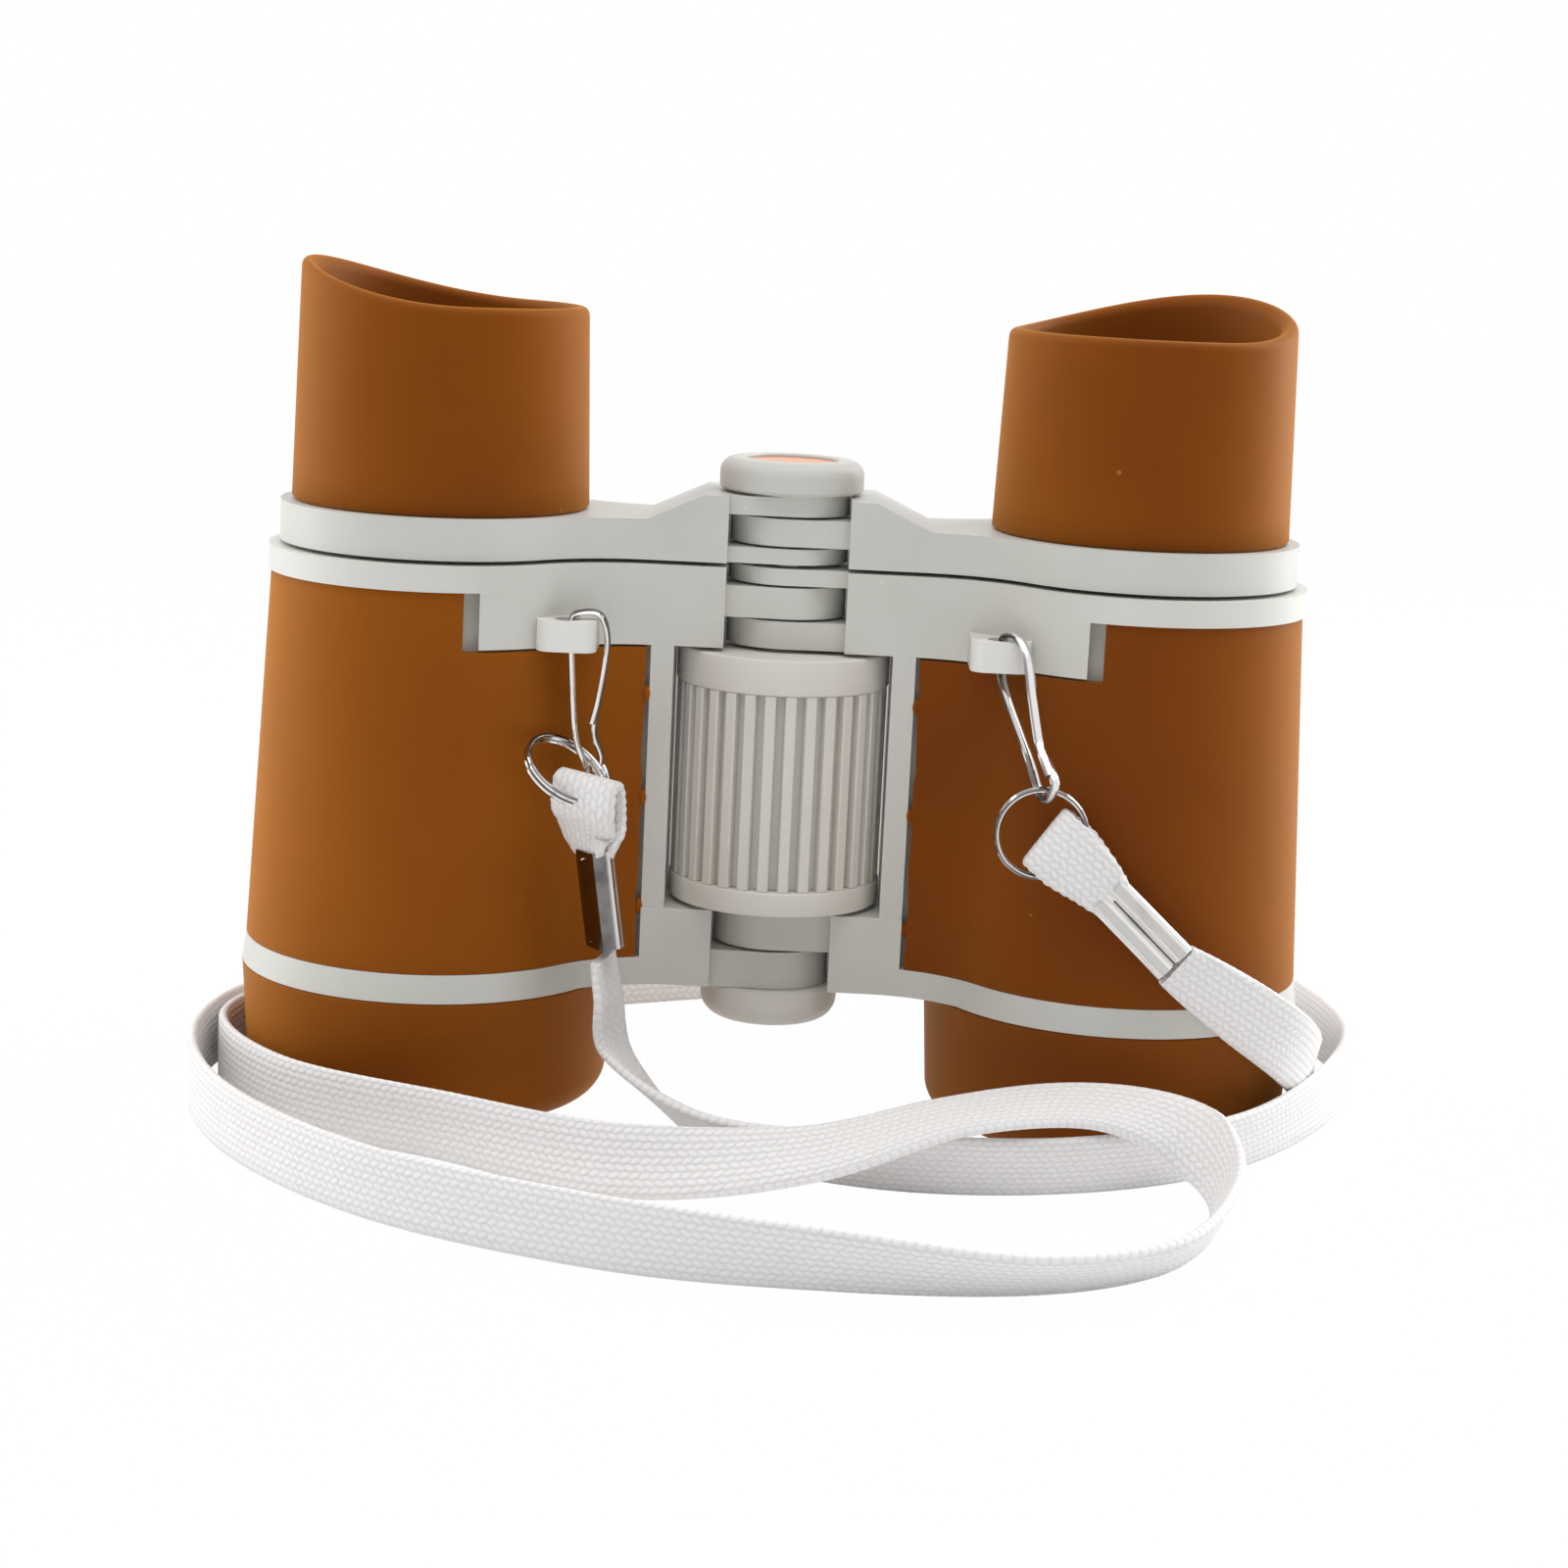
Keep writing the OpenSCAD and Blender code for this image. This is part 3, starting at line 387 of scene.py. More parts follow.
def addPiece(bm, name, finish, body, nodes, sharp=35):  # edges over sharp degrees stay crisp
    bmesh.ops.remove_doubles(bm, verts=bm.verts, dist=weld)
    bmesh.ops.recalc_face_normals(bm, faces=bm.faces)
    for face in bm.faces:
        face.smooth = True
    for edge in bm.edges:
        edge.smooth = edge.calc_face_angle(0) < math.radians(sharp)
    mesh = bpy.data.meshes.new(name)
    bm.to_mesh(mesh)
    bm.free()
    mesh.materials.append(finishes[finish])
    piece = bpy.data.objects.new(name, mesh)
    scene.collection.objects.link(piece)
    if body:
        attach(piece, body)
    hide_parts(*nodes)
    return piece


def soften(bm, edges, width, segments):  # rounds the edges
    bmesh.ops.bevel(bm, geom=edges, offset=width * mm, offset_type="OFFSET", segments=segments, profile=0.5,
                    affect="EDGES", material=-1, clamp_overlap=True)


def turned(profile, axis, steps, closed=True):  # a profile of (radius, height) spun round an upright axis
    bm = bmesh.new()
    line = [bm.verts.new(at(axis[0] + r, axis[1], z)) for r, z in profile]
    pairs = list(zip(line, line[1:])) + ([(line[-1], line[0])] if closed else [])
    edges = [bm.edges.new(pair) for pair in pairs]
    bmesh.ops.spin(bm, geom=line + edges, cent=at(axis[0], axis[1], 0), axis=(0, 0, 1), angle=math.tau,
                   steps=steps, use_merge=True)
    bmesh.ops.remove_doubles(bm, verts=bm.verts, dist=weld)
    bmesh.ops.recalc_face_normals(bm, faces=bm.faces)
    return bm


def slabFrom(outline, low, high):  # a plan outline raised between two heights
    bm = bmesh.new()
    face = bm.faces.new([bm.verts.new(at(x, y, low)) for x, y in outline])
    raised = bmesh.ops.extrude_face_region(bm, geom=[face])["geom"]
    upper = [g for g in raised if isinstance(g, bmesh.types.BMVert)]
    bmesh.ops.translate(bm, verts=upper, vec=at(0, 0, high - low))
    bmesh.ops.recalc_face_normals(bm, faces=bm.faces)
    return bm


def together(*parts):  # several meshes as one
    bm = bmesh.new()
    for part in parts:
        spare = bpy.data.meshes.new("spare")
        part.to_mesh(spare)
        part.free()
        bm.from_mesh(spare)
        bpy.data.meshes.remove(spare)
    return bm


def routeThrough(rows, step):  # smooth curve through the rows in even steps; gives place, side and distance
    cuts = 40  # straight bits between two rows
    fine = []
    for i in range(len(rows) - 1):
        a, b, c, d = (Vector(rows[max(0, min(len(rows) - 1, i + k))]) for k in (-1, 0, 1, 2))
        bend, twist = 2 * a - 5 * b + 4 * c - d, 3 * b - a - 3 * c + d
        for j in range(cuts):
            t = j / cuts
            fine.append(0.5 * (2 * b + (c - a) * t + bend * t * t + twist * t ** 3))
    fine.append(Vector(rows[-1]))
    far = [0.0]
    for p, q in zip(fine, fine[1:]):
        far.append(far[-1] + (Vector(q[:3]) - Vector(p[:3])).length)
    count = max(2, round(far[-1] / step))
    stations, k = [], 0
    for n in range(count + 1):
        goal = far[-1] * n / count
        while k < len(fine) - 2 and far[k + 1] < goal:
            k += 1
        share = (goal - far[k]) / max(nothing, far[k + 1] - far[k])
        row = fine[k].lerp(fine[k + 1], min(1, max(0, share)))
        stations.append((Vector(row[:3]), Vector(row[3:6]), goal))
    return stations


def swept(stations, section):  # a closed section of (across, through, mark) carried along the stations
    sides = len(section(0))
    last = len(stations) - 1
    bm = bmesh.new()
    along, across = bm.verts.layers.float.new("along"), bm.verts.layers.float.new("across")
    bmesh.ops.create_grid(bm, x_segments=sides, y_segments=last, size=1)
    for v in bm.verts:
        k, i = round((v.co.x + 1) / 2 * sides), round((v.co.y + 1) / 2 * last)
        place, side, distance = stations[i]
        way = (stations[min(i + 1, last)][0] - stations[max(i - 1, 0)][0]).normalized()
        wide = (side - way * side.dot(way)).normalized()
        a, b, mark = section(distance)[k % sides]
        v.co = (place + wide * a + way.cross(wide) * b) * mm
        v[along], v[across] = distance, mark
    bmesh.ops.remove_doubles(bm, verts=bm.verts, dist=seamWeld)
    bmesh.ops.holes_fill(bm, edges=[e for e in bm.edges if e.is_boundary], sides=sides)
    bmesh.ops.recalc_face_normals(bm, faces=bm.faces)
    return bm


def ribbonSection(width, thick, stitch, scallop):  # flat braid's section, its edges scalloped by the stitches
    shape = [(-1, 0), (-0.97, 0.6), (-0.9, 0.95), (-0.5, 1), (0, 1), (0.5, 1), (0.9, 0.95), (0.97, 0.6),
             (1, 0), (0.97, -0.6), (0.9, -0.95), (0.5, -1), (0, -1), (-0.5, -1), (-0.9, -0.95), (-0.97, -0.6)]

    def section(distance):
        half = width(distance) / 2
        wave = 0.5 * math.cos(math.tau * distance / stitch)
        low, high = half - scallop * (0.5 - wave), half - scallop * (0.5 + wave)
        return [(a * (low if a < 0 else high), b * thick / 2, a * half) for a, b in shape]
    return section


def wireSection(wide, thick, sides, dark):  # the mark is the angle from the side where the painted dark reflection lies
    turns = [math.tau * k / sides for k in range(sides)]
    ring = [(wide / 2 * math.cos(t), thick / 2 * math.sin(t), t - dark) for t in turns]
    return lambda distance: ring


# neck strap: one flat braid from the left ferrule, twice round the barrels, to the right ferrule

strap = {"width": 7.0, "thick": 1.0, "step": 0.32, "scallop": 0.03, "pinch": 0.3, "ease": 14.0}
onEdge = (0, 0, 1)  # the braid stands on its edge
strapRoute = [  # places in millimetres, each with the way that the braid's width points
    (-16.1, -17.21, 18.7, -0.3, -0.95, 0), (-15.55, -17.14, 15.24, -0.3, -0.95, 0),
    (-14, -17.5, 8.5, -0.36, -0.88, 0.3), (-5, -25.8, 4.2, -0.1, -0.75, 0.65),
    (10, -30.4, 3.6, 0, -0.45, 0.9), (29, -29.2, 3.6, 0.1, -0.4, 0.9), (46.5, -18.8, 3.6, 0.2, -0.25, 0.93),
    (59.5, 3, 3.6, *onEdge), (62, 23, 3.6, *onEdge), (53, 46, 3.6, *onEdge), (30, 58, 3.6, *onEdge),
    (-2, 49, 3.6, *onEdge), (-32, 33, 3.6, *onEdge), (-52.5, 15.5, 3.6, *onEdge), (-58, -4, 3.6, *onEdge),
    (-52, -25, 3.6, *onEdge), (-36, -43, 3.6, *onEdge), (-14, -54, 3.6, 0, -0.05, 1),
    (7, -58.5, 3.6, 0, -0.4, 0.91), (24, -58.5, 3.1, 0.1, -0.7, 0.7), (36, -52, 3, 0.35, -0.6, 0.7),
    (42.3, -41, 3.8, 0.35, -0.2, 0.9), (42.8, -34, 5.8, 0.25, 0.1, 0.96), (38.5, -28.7, 8, 0.25, 0.75, 0.6),
    (30, -27.3, 9, 0, 0.95, 0.3), (18, -31.7, 8.6, 0, 0.97, 0.2), (4, -36.7, 5.8, 0, 0.85, 0.5),
    (-13, -34.8, 3.8, 0, 0.35, 0.93), (-30, -26.3, 3.6, *onEdge), (-47.5, -16.7, 3.6, *onEdge),
    (-56, 0, 3.6, *onEdge), (-47.5, 17, 3.6, *onEdge), (-25, 29.5, 3.6, *onEdge), (-3, 40, 3.6, *onEdge),
    (24, 50.5, 3.6, *onEdge), (47, 41.5, 3.7, *onEdge), (57.5, 20, 3.8, *onEdge),
    (56.4, 0.8, 5.6, 0.15, 0, 0.98), (51, -15, 12.8, 0.45, 0, 0.89), (39.02, -21.53, 21.69, 0.7, 0, 0.7),
]

lugHole = {"left": Vector((-21, -12.61, 48)), "right": Vector((21, -12.61, 48))}
hooks = {  # routes from the lug's hole, dark is where round the wire its painted dark reflection lies
    "wide": 1.05, "thick": 0.62, "sides": 12, "step": 0.25,
    "left": {"flat": (0.1, 0.95, 0.3), "dark": 1.35, "route": [
        (3.3, -0.2, -4.6), (2.9, 0.2, -8), (3.65, 0.7, -10.6), (2.9, -0.25, -12.9), (2.15, -1.2, -10.8),
        (1.2, -0.9, -8), (0.55, 0, -1), (0.4, 0.1, 2.8), (1.2, 0.2, 3.6), (3.1, 0.2, 3.5), (3.9, 0, 1.6),
        (3.8, -0.3, -1), (3.3, -0.9, -4.6), (2.75, -1.1, -7)]},
    "right": {"flat": (0.9, 0.4, 0.1), "dark": 3.4, "route": [
        (4.6, -6.9, -7.4), (5.3, -8.3, -8.9), (5.3, -8.5, -9.9), (4.7, -7.2, -11.3), (3.9, -5.9, -10),
        (2.9, -4.6, -7.2), (0.4, 0, -1), (0.2, 0.1, 2.6), (0.5, -0.5, 3.5), (1.5, -2.1, 3.5),
        (2.4, -3.5, 1.8), (3, -4.6, -1.6), (3.7, -6.1, -5.4), (4.2, -7.2, -7), (4.9, -8.2, -8.6)]},
}
splitRings = {
    "radius": 4.3, "wire": 0.56, "turns": 2, "pitch": 0.55, "sides": 10, "steps": 96,
    "left": {"at": (0.7, -3.9, -11.2), "normal": (0.5, -0.405, 0.766)},
    "right": {"at": (4.5, -7.2, -14.5), "normal": (0, -1, 0)},
}
ferrules = {  # top and foot from the lug's hole, marks as angles from the painted dark reflection: the dark faces, seam line and grey hump edges are painted reflection and painted shade
    "wide": 4.6, "thick": 2.6, "sheet": 0.4, "recess": 0.8, "dip": 0.25, "crown": 0.6,
    "cuts": 8, "rows": 4, "step": 0.6,
    "back": ((1, -0.5), (0.86, -0.9), (0.6, -1), (-0.6, -1), (-0.86, -0.9), (-1, -0.5)),
    "left": {"top": (3.7, -4.7, -18.6), "foot": (5.1, -4.6, -28.2),
             "side": (-0.5, 0.87, 0), "marks": (0.95, math.pi, 0, 1.2)},
    "right": {"top": (11, -8.4, -19.7), "foot": (17.8, -8.9, -26.1),
              "side": (0.7, 0, 0.7), "marks": (1.15, 0.7, 0, 2.2)},
}
strapLoops = {  # the braid's end folded through a split ring; wide at the fold, drawn in at the ferrule
    "thick": 1.0, "layer": 0.55, "lead": 2.0, "room": 1.25, "foot": 4.4, "fold": 6.9, "seat": 0.8,
    "part": 1.3, "twist": 0.6, "tuck": 0.7, "drop": 0.6, "scallop": 0.14, "swell": 0.8,
    "left": {"fold": (-18.0, -18.9, 36.5), "wire": (-17.9, -18.6, 33.6),
             "side": (0.92, -0.38, -0.12), "spread": 4},
    "right": {"fold": (26.0, -19.9, 33.2), "wire": (29.0, -20.2, 30.9),
              "side": (0.57, 0, 0.82), "spread": 1.6},
}


def makeHook(side):
    h = hooks
    rows = [tuple(lugHole[side] + Vector(p)) + h[side]["flat"] for p in h[side]["route"]]
    section = wireSection(h["wide"], h["thick"], h["sides"], h[side]["dark"])
    bm = swept(routeThrough(rows, h["step"]), section)
    return addPiece(bm, side + "StrapHook", "nickel", side + "_body", [side + "_hook"])


def makeSplitRing(side):  # two turns of wire lying on each other
    r = splitRings
    normal = Vector(r[side]["normal"]).normalized()
    first = normal.orthogonal().normalized()
    second = normal.cross(first)
    centre = lugHole[side] + Vector(r[side]["at"])
    stations = []
    steps = r["steps"] * r["turns"]
    for n in range(steps + 1):
        t = math.tau * r["turns"] * n / steps
        rise = r["pitch"] * (n / steps * r["turns"] - r["turns"] / 2)
        out = first * math.cos(t) + second * math.sin(t)
        stations.append((centre + out * r["radius"] + normal * rise, normal, r["radius"] * t))
    # the ring's wire carries the same painted dark reflection band, from angle 0
    bm = swept(stations, wireSection(r["wire"], r["wire"], r["sides"], 0))
    return addPiece(bm, side + "SplitRing", "nickel", side + "_body", [side + "_split_ring"])


def ferruleEnds(side):
    return [lugHole[side] + Vector(ferrules[side][end]) for end in ("top", "foot")]


def makeStrapLoop(side):
    l = strapLoops
    top, foot = ferruleEnds(side)
    way = (foot - top).normalized()
    flat = Vector(ferrules[side]["side"])
    out = way.cross(flat).normalized()
    fold, wire, wide = Vector(l[side]["fold"]), Vector(l[side]["wire"]), Vector(l[side]["side"])
    if wide.dot(flat) < 0:
        wide = -wide  # the braid turns the short way
    face = (wire - fold).cross(wide).normalized()
    drop = (fold - wire).normalized() * l["drop"]
    inside, above = top + way * l["seat"], top - way * l["lead"]
    layer, room, half = out * l["layer"], face * l["room"], flat.lerp(wide, l["twist"])
    rows = [tuple(p) + tuple(w) for p, w in (
        (inside + layer, flat), (above + layer * l["part"], half), (wire + room, wide),
        (fold + room * l["tuck"] - drop, wide), (fold, wide), (fold - room * l["tuck"] - drop, wide),
        (wire - room, wide), (above - layer * l["part"], half), (inside - layer, flat))]
    stations = routeThrough(rows, strap["step"])
    middle = stations[-1][2] / 2

    def width(distance):  # drawn in at both feet, widest at the fold
        share = 1 - abs(distance - middle) / middle
        return l["foot"] + (l["fold"] - l["foot"]) * min(1, share * l[side]["spread"]) ** l["swell"]
    bm = swept(stations, ribbonSection(width, l["thick"], braid["stitch"], l["scallop"]))
    node = side + "_strap_loop"
    return addPiece(bm, side + "StrapLoop", "braid", side + "_body", [node], sharp=60)


def makeFerrule(side):  # sheet metal rolled round the braid, its two edges meeting in front
    f = ferrules
    half, deep, dip, cuts = f["wide"] / 2, f["thick"] / 2, f["dip"], f["cuts"]
    # hump, seam, flat and edge marks place painted reflection and painted shade on the rolled sheet
    hump, seam, flat, edge = f[side]["marks"]
    section = []
    for s in (-1, 1):
        for k in range(cuts + 1):
            t = math.pi * (1 - k / cuts)
            mark = hump if abs(math.cos(t)) < f["crown"] else edge
            section.append((s * half / 2 + half / 2 * math.cos(t), dip + (deep - dip) * math.sin(t), mark))
    section[cuts:cuts + 2] = [(0, dip, seam)]  # the edges meet in one line
    section += [(a * half, b * deep, flat) for a, b in f["back"]]
    top, foot = ferruleEnds(side)
    rows = [tuple(top.lerp(foot, k / f["rows"])) + f[side]["side"] for k in range(f["rows"] + 1)]
    bm = swept(routeThrough(rows, f["step"]), lambda distance: section)
    ends = [face for face in bm.faces if len(face.verts) == len(section)]
    bmesh.ops.inset_region(bm, faces=ends, thickness=f["sheet"] * mm, use_even_offset=True)
    middle = (top + foot) / 2 * mm
    for face in ends:
        way = (middle - face.calc_center_median()).normalized()
        bmesh.ops.translate(bm, verts=face.verts, vec=way * f["recess"] * mm)
    return addPiece(bm, side + "Ferrule", "nickel", side + "_body", [side + "_ferrule"], sharp=40)


def makeStrap(s):
    stations = routeThrough(strapRoute, s["step"])
    long = stations[-1][2]

    def width(distance):  # the braid comes out of each ferrule drawn in
        near = min(1, min(distance, long - distance) / s["ease"])
        return s["width"] * (1 - s["pinch"] * (1 - near) ** 2)
    bm = swept(stations, ribbonSection(width, s["thick"], braid["stitch"], s["scallop"]))
    piece = addPiece(bm, "strapBraid", "braid", None, ["strap"], sharp=60)
    makers = (makeHook, makeSplitRing, makeStrapLoop, makeFerrule)
    fittings = [make(side) for side in ("left", "right") for make in makers]
    stations[0][0] * mm
    long * mm
    [p * mm for p, side, far in stations[::4]] + [stations[-1][0] * mm]
    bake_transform(piece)
    print("strap laid:", round(long), "mm, with", len(fittings), "fittings")


makeStrap(strap)


# barrels: bumpers, armour and eyecups in brown rubber

barrels = {"left": -35.0, "right": 35.0}


def mirrored(bm, side):  # shapes are drawn for the right-hand barrel
    if side == "left":
        bmesh.ops.scale(bm, vec=(-1, 1, 1), verts=bm.verts)
        bmesh.ops.reverse_faces(bm, faces=bm.faces)
    return bm


def arcPoints(centre, radius, first, last, steps):  # degrees
    turns = [math.radians(first + (last - first) * k / steps) for k in range(steps + 1)]
    return [(centre[0] + radius * math.cos(t), centre[1] + radius * math.sin(t)) for t in turns]


bumper = {
    "base": 18.4, "top": 19.05, "high": 13.46, "round": 3.4, "mouth": 13.6, "wall": 3.0, "inside": 16.75,
    "lip": 0.3, "draft": 0.04, "lean": 10, "footCuts": 12, "lipCuts": 4, "steps": 112,
}


def makeBumper(side, b):
    lip = b["lip"]
    foot = arcPoints((b["base"] - b["round"], b["round"]), b["round"], -90, 0, b["footCuts"])
    profile = [(b["mouth"] + lip, 0)] + foot + [(b["top"] - b["draft"], b["high"] - lip)]
    profile += arcPoints((b["top"] - lip, b["high"] - lip), lip, b["lean"], 90, b["lipCuts"])
    profile += [(b["inside"], b["high"]), (b["inside"], b["wall"])]
    profile += [(b["mouth"], b["wall"]), (b["mouth"], lip)]
    bm = turned(profile, (barrels[side], 0), b["steps"])
    addPiece(bm, side + "Bumper", side + "Rubber", side + "_body", [side + "_bumper"])


armour = {
    "low": 16.36, "high": 53.44, "lowRadius": 18.65, "highRadius": 16.7, "half": 6.96, "blend": 14.0,
    "edge": 13.55, "wall": 1.56, "notchHigh": 47.75, "notchWide": 30.7, "levels": 24, "hollowCuts": 14,
    "ringCuts": 48, "round": 0.45, "sharp": 50, "segments": 3,
    "wave": 0.06, "waves": ((1, 0.37, 1, 0), (1, 0.83, 0, 2), (0.7, 2.3, 1, 0)),  # size, pace, by edge, start
    "nubs": {"left": (43.1, 32.6, 21.5), "right": (43.0, 32.0, 20.3)},
    "nubSize": 0.55, "nubShape": (0.8, 1.1, 1.5), "nubIn": 0.15,
}


def armourPlan(a, radius):  # hollow blend, round the barrel and back
    centre, reach = barrels["right"], a["half"] + a["blend"]
    blendX = centre - math.sqrt((radius + a["blend"]) ** 2 - reach ** 2)
    lean = math.degrees(math.atan2(reach, centre - blendX))
    first = math.degrees(math.acos((a["edge"] - blendX) / a["blend"]))  # where the skin ends at the post
    hollow = arcPoints((blendX, -reach), a["blend"], first, lean, a["hollowCuts"])
    ring = arcPoints((centre, 0), radius, 180 + lean, 360, a["ringCuts"])[1:]
    front = hollow + ring
    return front + [(x, -y) for x, y in reversed(front[:-1])]


def makeArmour(side, a):
    levels, rise, taper = a["levels"], a["high"] - a["low"], a["highRadius"] - a["lowRadius"]
    plans = [armourPlan(a, a["lowRadius"] + taper * n / levels) for n in range(levels + 1)]
    count = len(plans[0]) - 1
    bm = bmesh.new()
    bmesh.ops.create_grid(bm, x_segments=count, y_segments=levels, size=1)
    for v in bm.verts:
        k, n = round((v.co.x + 1) / 2 * count), round((v.co.y + 1) / 2 * levels)
        x, y = plans[n][k]
        z = a["low"] + rise * n / levels
        if min(k, count - k) == 0:  # the moulded edge wanders a little
            waves = [size * math.sin(z * pace + k * by + start) for size, pace, by, start in a["waves"]]
            x += a["wave"] * sum(waves)
        v.co = at(x, y, z)
    for plane, normal in (((0, 0, a["notchHigh"]), (0, 0, 1)), ((a["notchWide"], 0, 0), (1, 0, 0))):
        geom = bm.verts[:] + bm.edges[:] + bm.faces[:]
        bmesh.ops.bisect_plane(bm, geom=geom, plane_co=at(*plane), plane_no=normal, dist=seamWeld)
    middles = [(f, f.calc_center_median() / mm) for f in bm.faces]
    gone = [f for f, middle in middles if middle.z > a["notchHigh"] and middle.x < a["notchWide"]]
    bmesh.ops.delete(bm, geom=gone, context="FACES")
    bmesh.ops.remove_doubles(bm, verts=bm.verts, dist=weld)
    bmesh.ops.recalc_face_normals(bm, faces=bm.faces)
    outer = max(bm.faces, key=lambda f: f.calc_center_median().x)
    if outer.normal.x < 0:
        bmesh.ops.reverse_faces(bm, faces=bm.faces)
    bmesh.ops.solidify(bm, geom=bm.faces[:], thickness=a["wall"] * mm)
    bmesh.ops.recalc_face_normals(bm, faces=bm.faces)
    sharp = [e for e in bm.edges if e.calc_face_angle(0) > math.radians(a["sharp"])]
    soften(bm, sharp, a["round"], a["segments"])
    for high in a["nubs"][side]:  # flash left by the mould on the inner edge
        nub = bmesh.new()
        bmesh.ops.create_icosphere(nub, subdivisions=2, radius=a["nubSize"] * mm)
        bmesh.ops.scale(nub, vec=a["nubShape"], verts=nub.verts)
        place = at(a["edge"] - a["nubIn"], -a["half"] + a["nubIn"], high)
        bmesh.ops.translate(nub, verts=nub.verts, vec=place)
        bm = together(bm, nub)
    bm, node = mirrored(bm, side), side + "_armour"
    addPiece(bm, side + "Armour", side + "Rubber", side + "_body", [node], sharp=50)


eyecup = {
    "foot": 60.48, "low": 80.38, "footRadius": 14.8, "topRadius": 14.2, "inside": 12.48, "lip": 0.3,
    "wing": 4.1, "start": 6.0, "turn": {"left": 172, "right": 53}, "clear": 1.0,
    "outerCuts": 8, "innerCuts": 6, "rimCuts": 10, "steps": 128,
}


def makeEyecup(side, e):
    rim, lip, foot, wide = (e["topRadius"] - e["inside"]) / 2, e["lip"], e["foot"], e["footRadius"]
    rise, taper = e["low"] - rim - foot, e["topRadius"] - wide
    outer, inner = e["outerCuts"], e["innerCuts"]
    profile = [(e["inside"], foot), (wide - lip, foot), (wide, foot + lip)]
    for k in range(1, outer + 1):
        profile.append((wide + taper * k / outer, foot + lip + (rise - lip) * k / outer))
    profile += arcPoints((e["inside"] + rim, e["low"] - rim), rim, 0, 180, e["rimCuts"])[1:]
    profile += [(e["inside"], e["low"] - rim - (rise - e["clear"]) * k / inner) for k in range(1, inner)]
    bm = turned(profile, (0, 0), e["steps"])
    reach = e["topRadius"] + e["start"]
    radius = (reach ** 2 + e["wing"] ** 2) / (2 * e["wing"])
    for v in bm.verts:  # the wing: the wall is drawn up along a shallow arc on one side
        run = max(0, v.co.x / mm + e["start"])
        share = (v.co.z / mm - foot) / (e["low"] - foot)
        v.co.z += share * (radius - math.sqrt(radius ** 2 - run ** 2)) * mm
    turn = Matrix.Rotation(math.radians(e["turn"][side]), 3, "Z")
    bmesh.ops.rotate(bm, verts=bm.verts, cent=(0, 0, 0), matrix=turn)
    bmesh.ops.translate(bm, verts=bm.verts, vec=at(barrels[side], 0, 0))
    body = node = side + "_eyecup"
    addPiece(bm, side + "Eyecup", "eyecupRubber", body, [node], sharp=60)


for side in barrels:
    makeBumper(side, bumper)
    makeArmour(side, armour)
    makeEyecup(side, eyecup)
print("rubber fitted")


# grey frame: body halves and eyepiece arms, with their moulded edges rounded

mouldings = {
    "left_body": {"finish": "shell", "round": 0.28},
    "right_body": {"finish": "shell", "round": 0.28},
    "left_eyepiece_arm": {"finish": "arm", "round": 0.32},
    "right_eyepiece_arm": {"finish": "arm", "round": 0.32},
}
mouldedEdge = {"weld": 3e-6, "flat": 0.6, "sharp": 32, "segments": 3}
knuckle = {"drawn": 5.7, "shown": 5.94, "within": 0.05}  # closes the sliver of daylight beside the knuckles
post = {"drawn": 11.0, "shown": 10.83, "within": 0.02}  # and beside the wheel


def makeMoulding(node, m, edge):  # a copy of the solid with its edges rounded
    bm = bmesh.new()
    bm.from_mesh(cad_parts[node].data)
    bmesh.ops.remove_doubles(bm, verts=bm.verts, dist=edge["weld"])
    for v in bm.verts:
        out = math.hypot(v.co.x, v.co.y) / mm
        if abs(out - knuckle["drawn"]) < knuckle["within"]:
            v.co.xy *= knuckle["shown"] / out
        elif abs(abs(v.co.x) / mm - post["drawn"]) < post["within"]:
            v.co.x *= post["shown"] / post["drawn"]
    bmesh.ops.dissolve_limit(bm, angle_limit=math.radians(edge["flat"]), verts=bm.verts[:], edges=bm.edges[:],
                             use_dissolve_boundaries=False)
    for face in bm.faces:
        face.smooth = True
    words = node.split("_")
    name = words[0] + "".join(w.title() for w in words[1:]) + "Moulding"
    mesh = bpy.data.meshes.new(name)
    bm.to_mesh(mesh)
    bm.free()
    if "custom_normal" in mesh.attributes:
        mesh.attributes.remove(mesh.attributes["custom_normal"])
    mesh.materials.append(finishes[m["finish"]])
    piece = bpy.data.objects.new(name, mesh)
    scene.collection.objects.link(piece)
    rounding = piece.modifiers.new("rounding", "BEVEL")
    rounding.width, rounding.segments = m["round"] * mm, edge["segments"]
    rounding.limit_method, rounding.angle_limit = "ANGLE", math.radians(edge["sharp"])
    piece.modifiers.new("evenShading", "WEIGHTED_NORMAL")
    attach(piece, node.replace("_arm", ""))
    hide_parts(node)


for node, settings in mouldings.items():
    makeMoulding(node, settings, mouldedEdge)
print("frame moulded")


# focus wheel and hinge caps

wheel = {
    "low": 21.8, "high": 47.6, "foot": 24.3, "neck": 44.0, "radius": 10.6, "collar": 10.72, "groove": 9.6,
    "ribs": 32, "ribWide": 1.2, "ribFoot": 0.54, "ribShoulder": 0.47, "ribTop": 0.38, "shoulder": 0.12,
    "ribEnd": 0.14, "endCuts": 2, "overlap": 0.02, "bore": 3.7, "round": 0.28, "roundCuts": 4, "steps": 128,
}


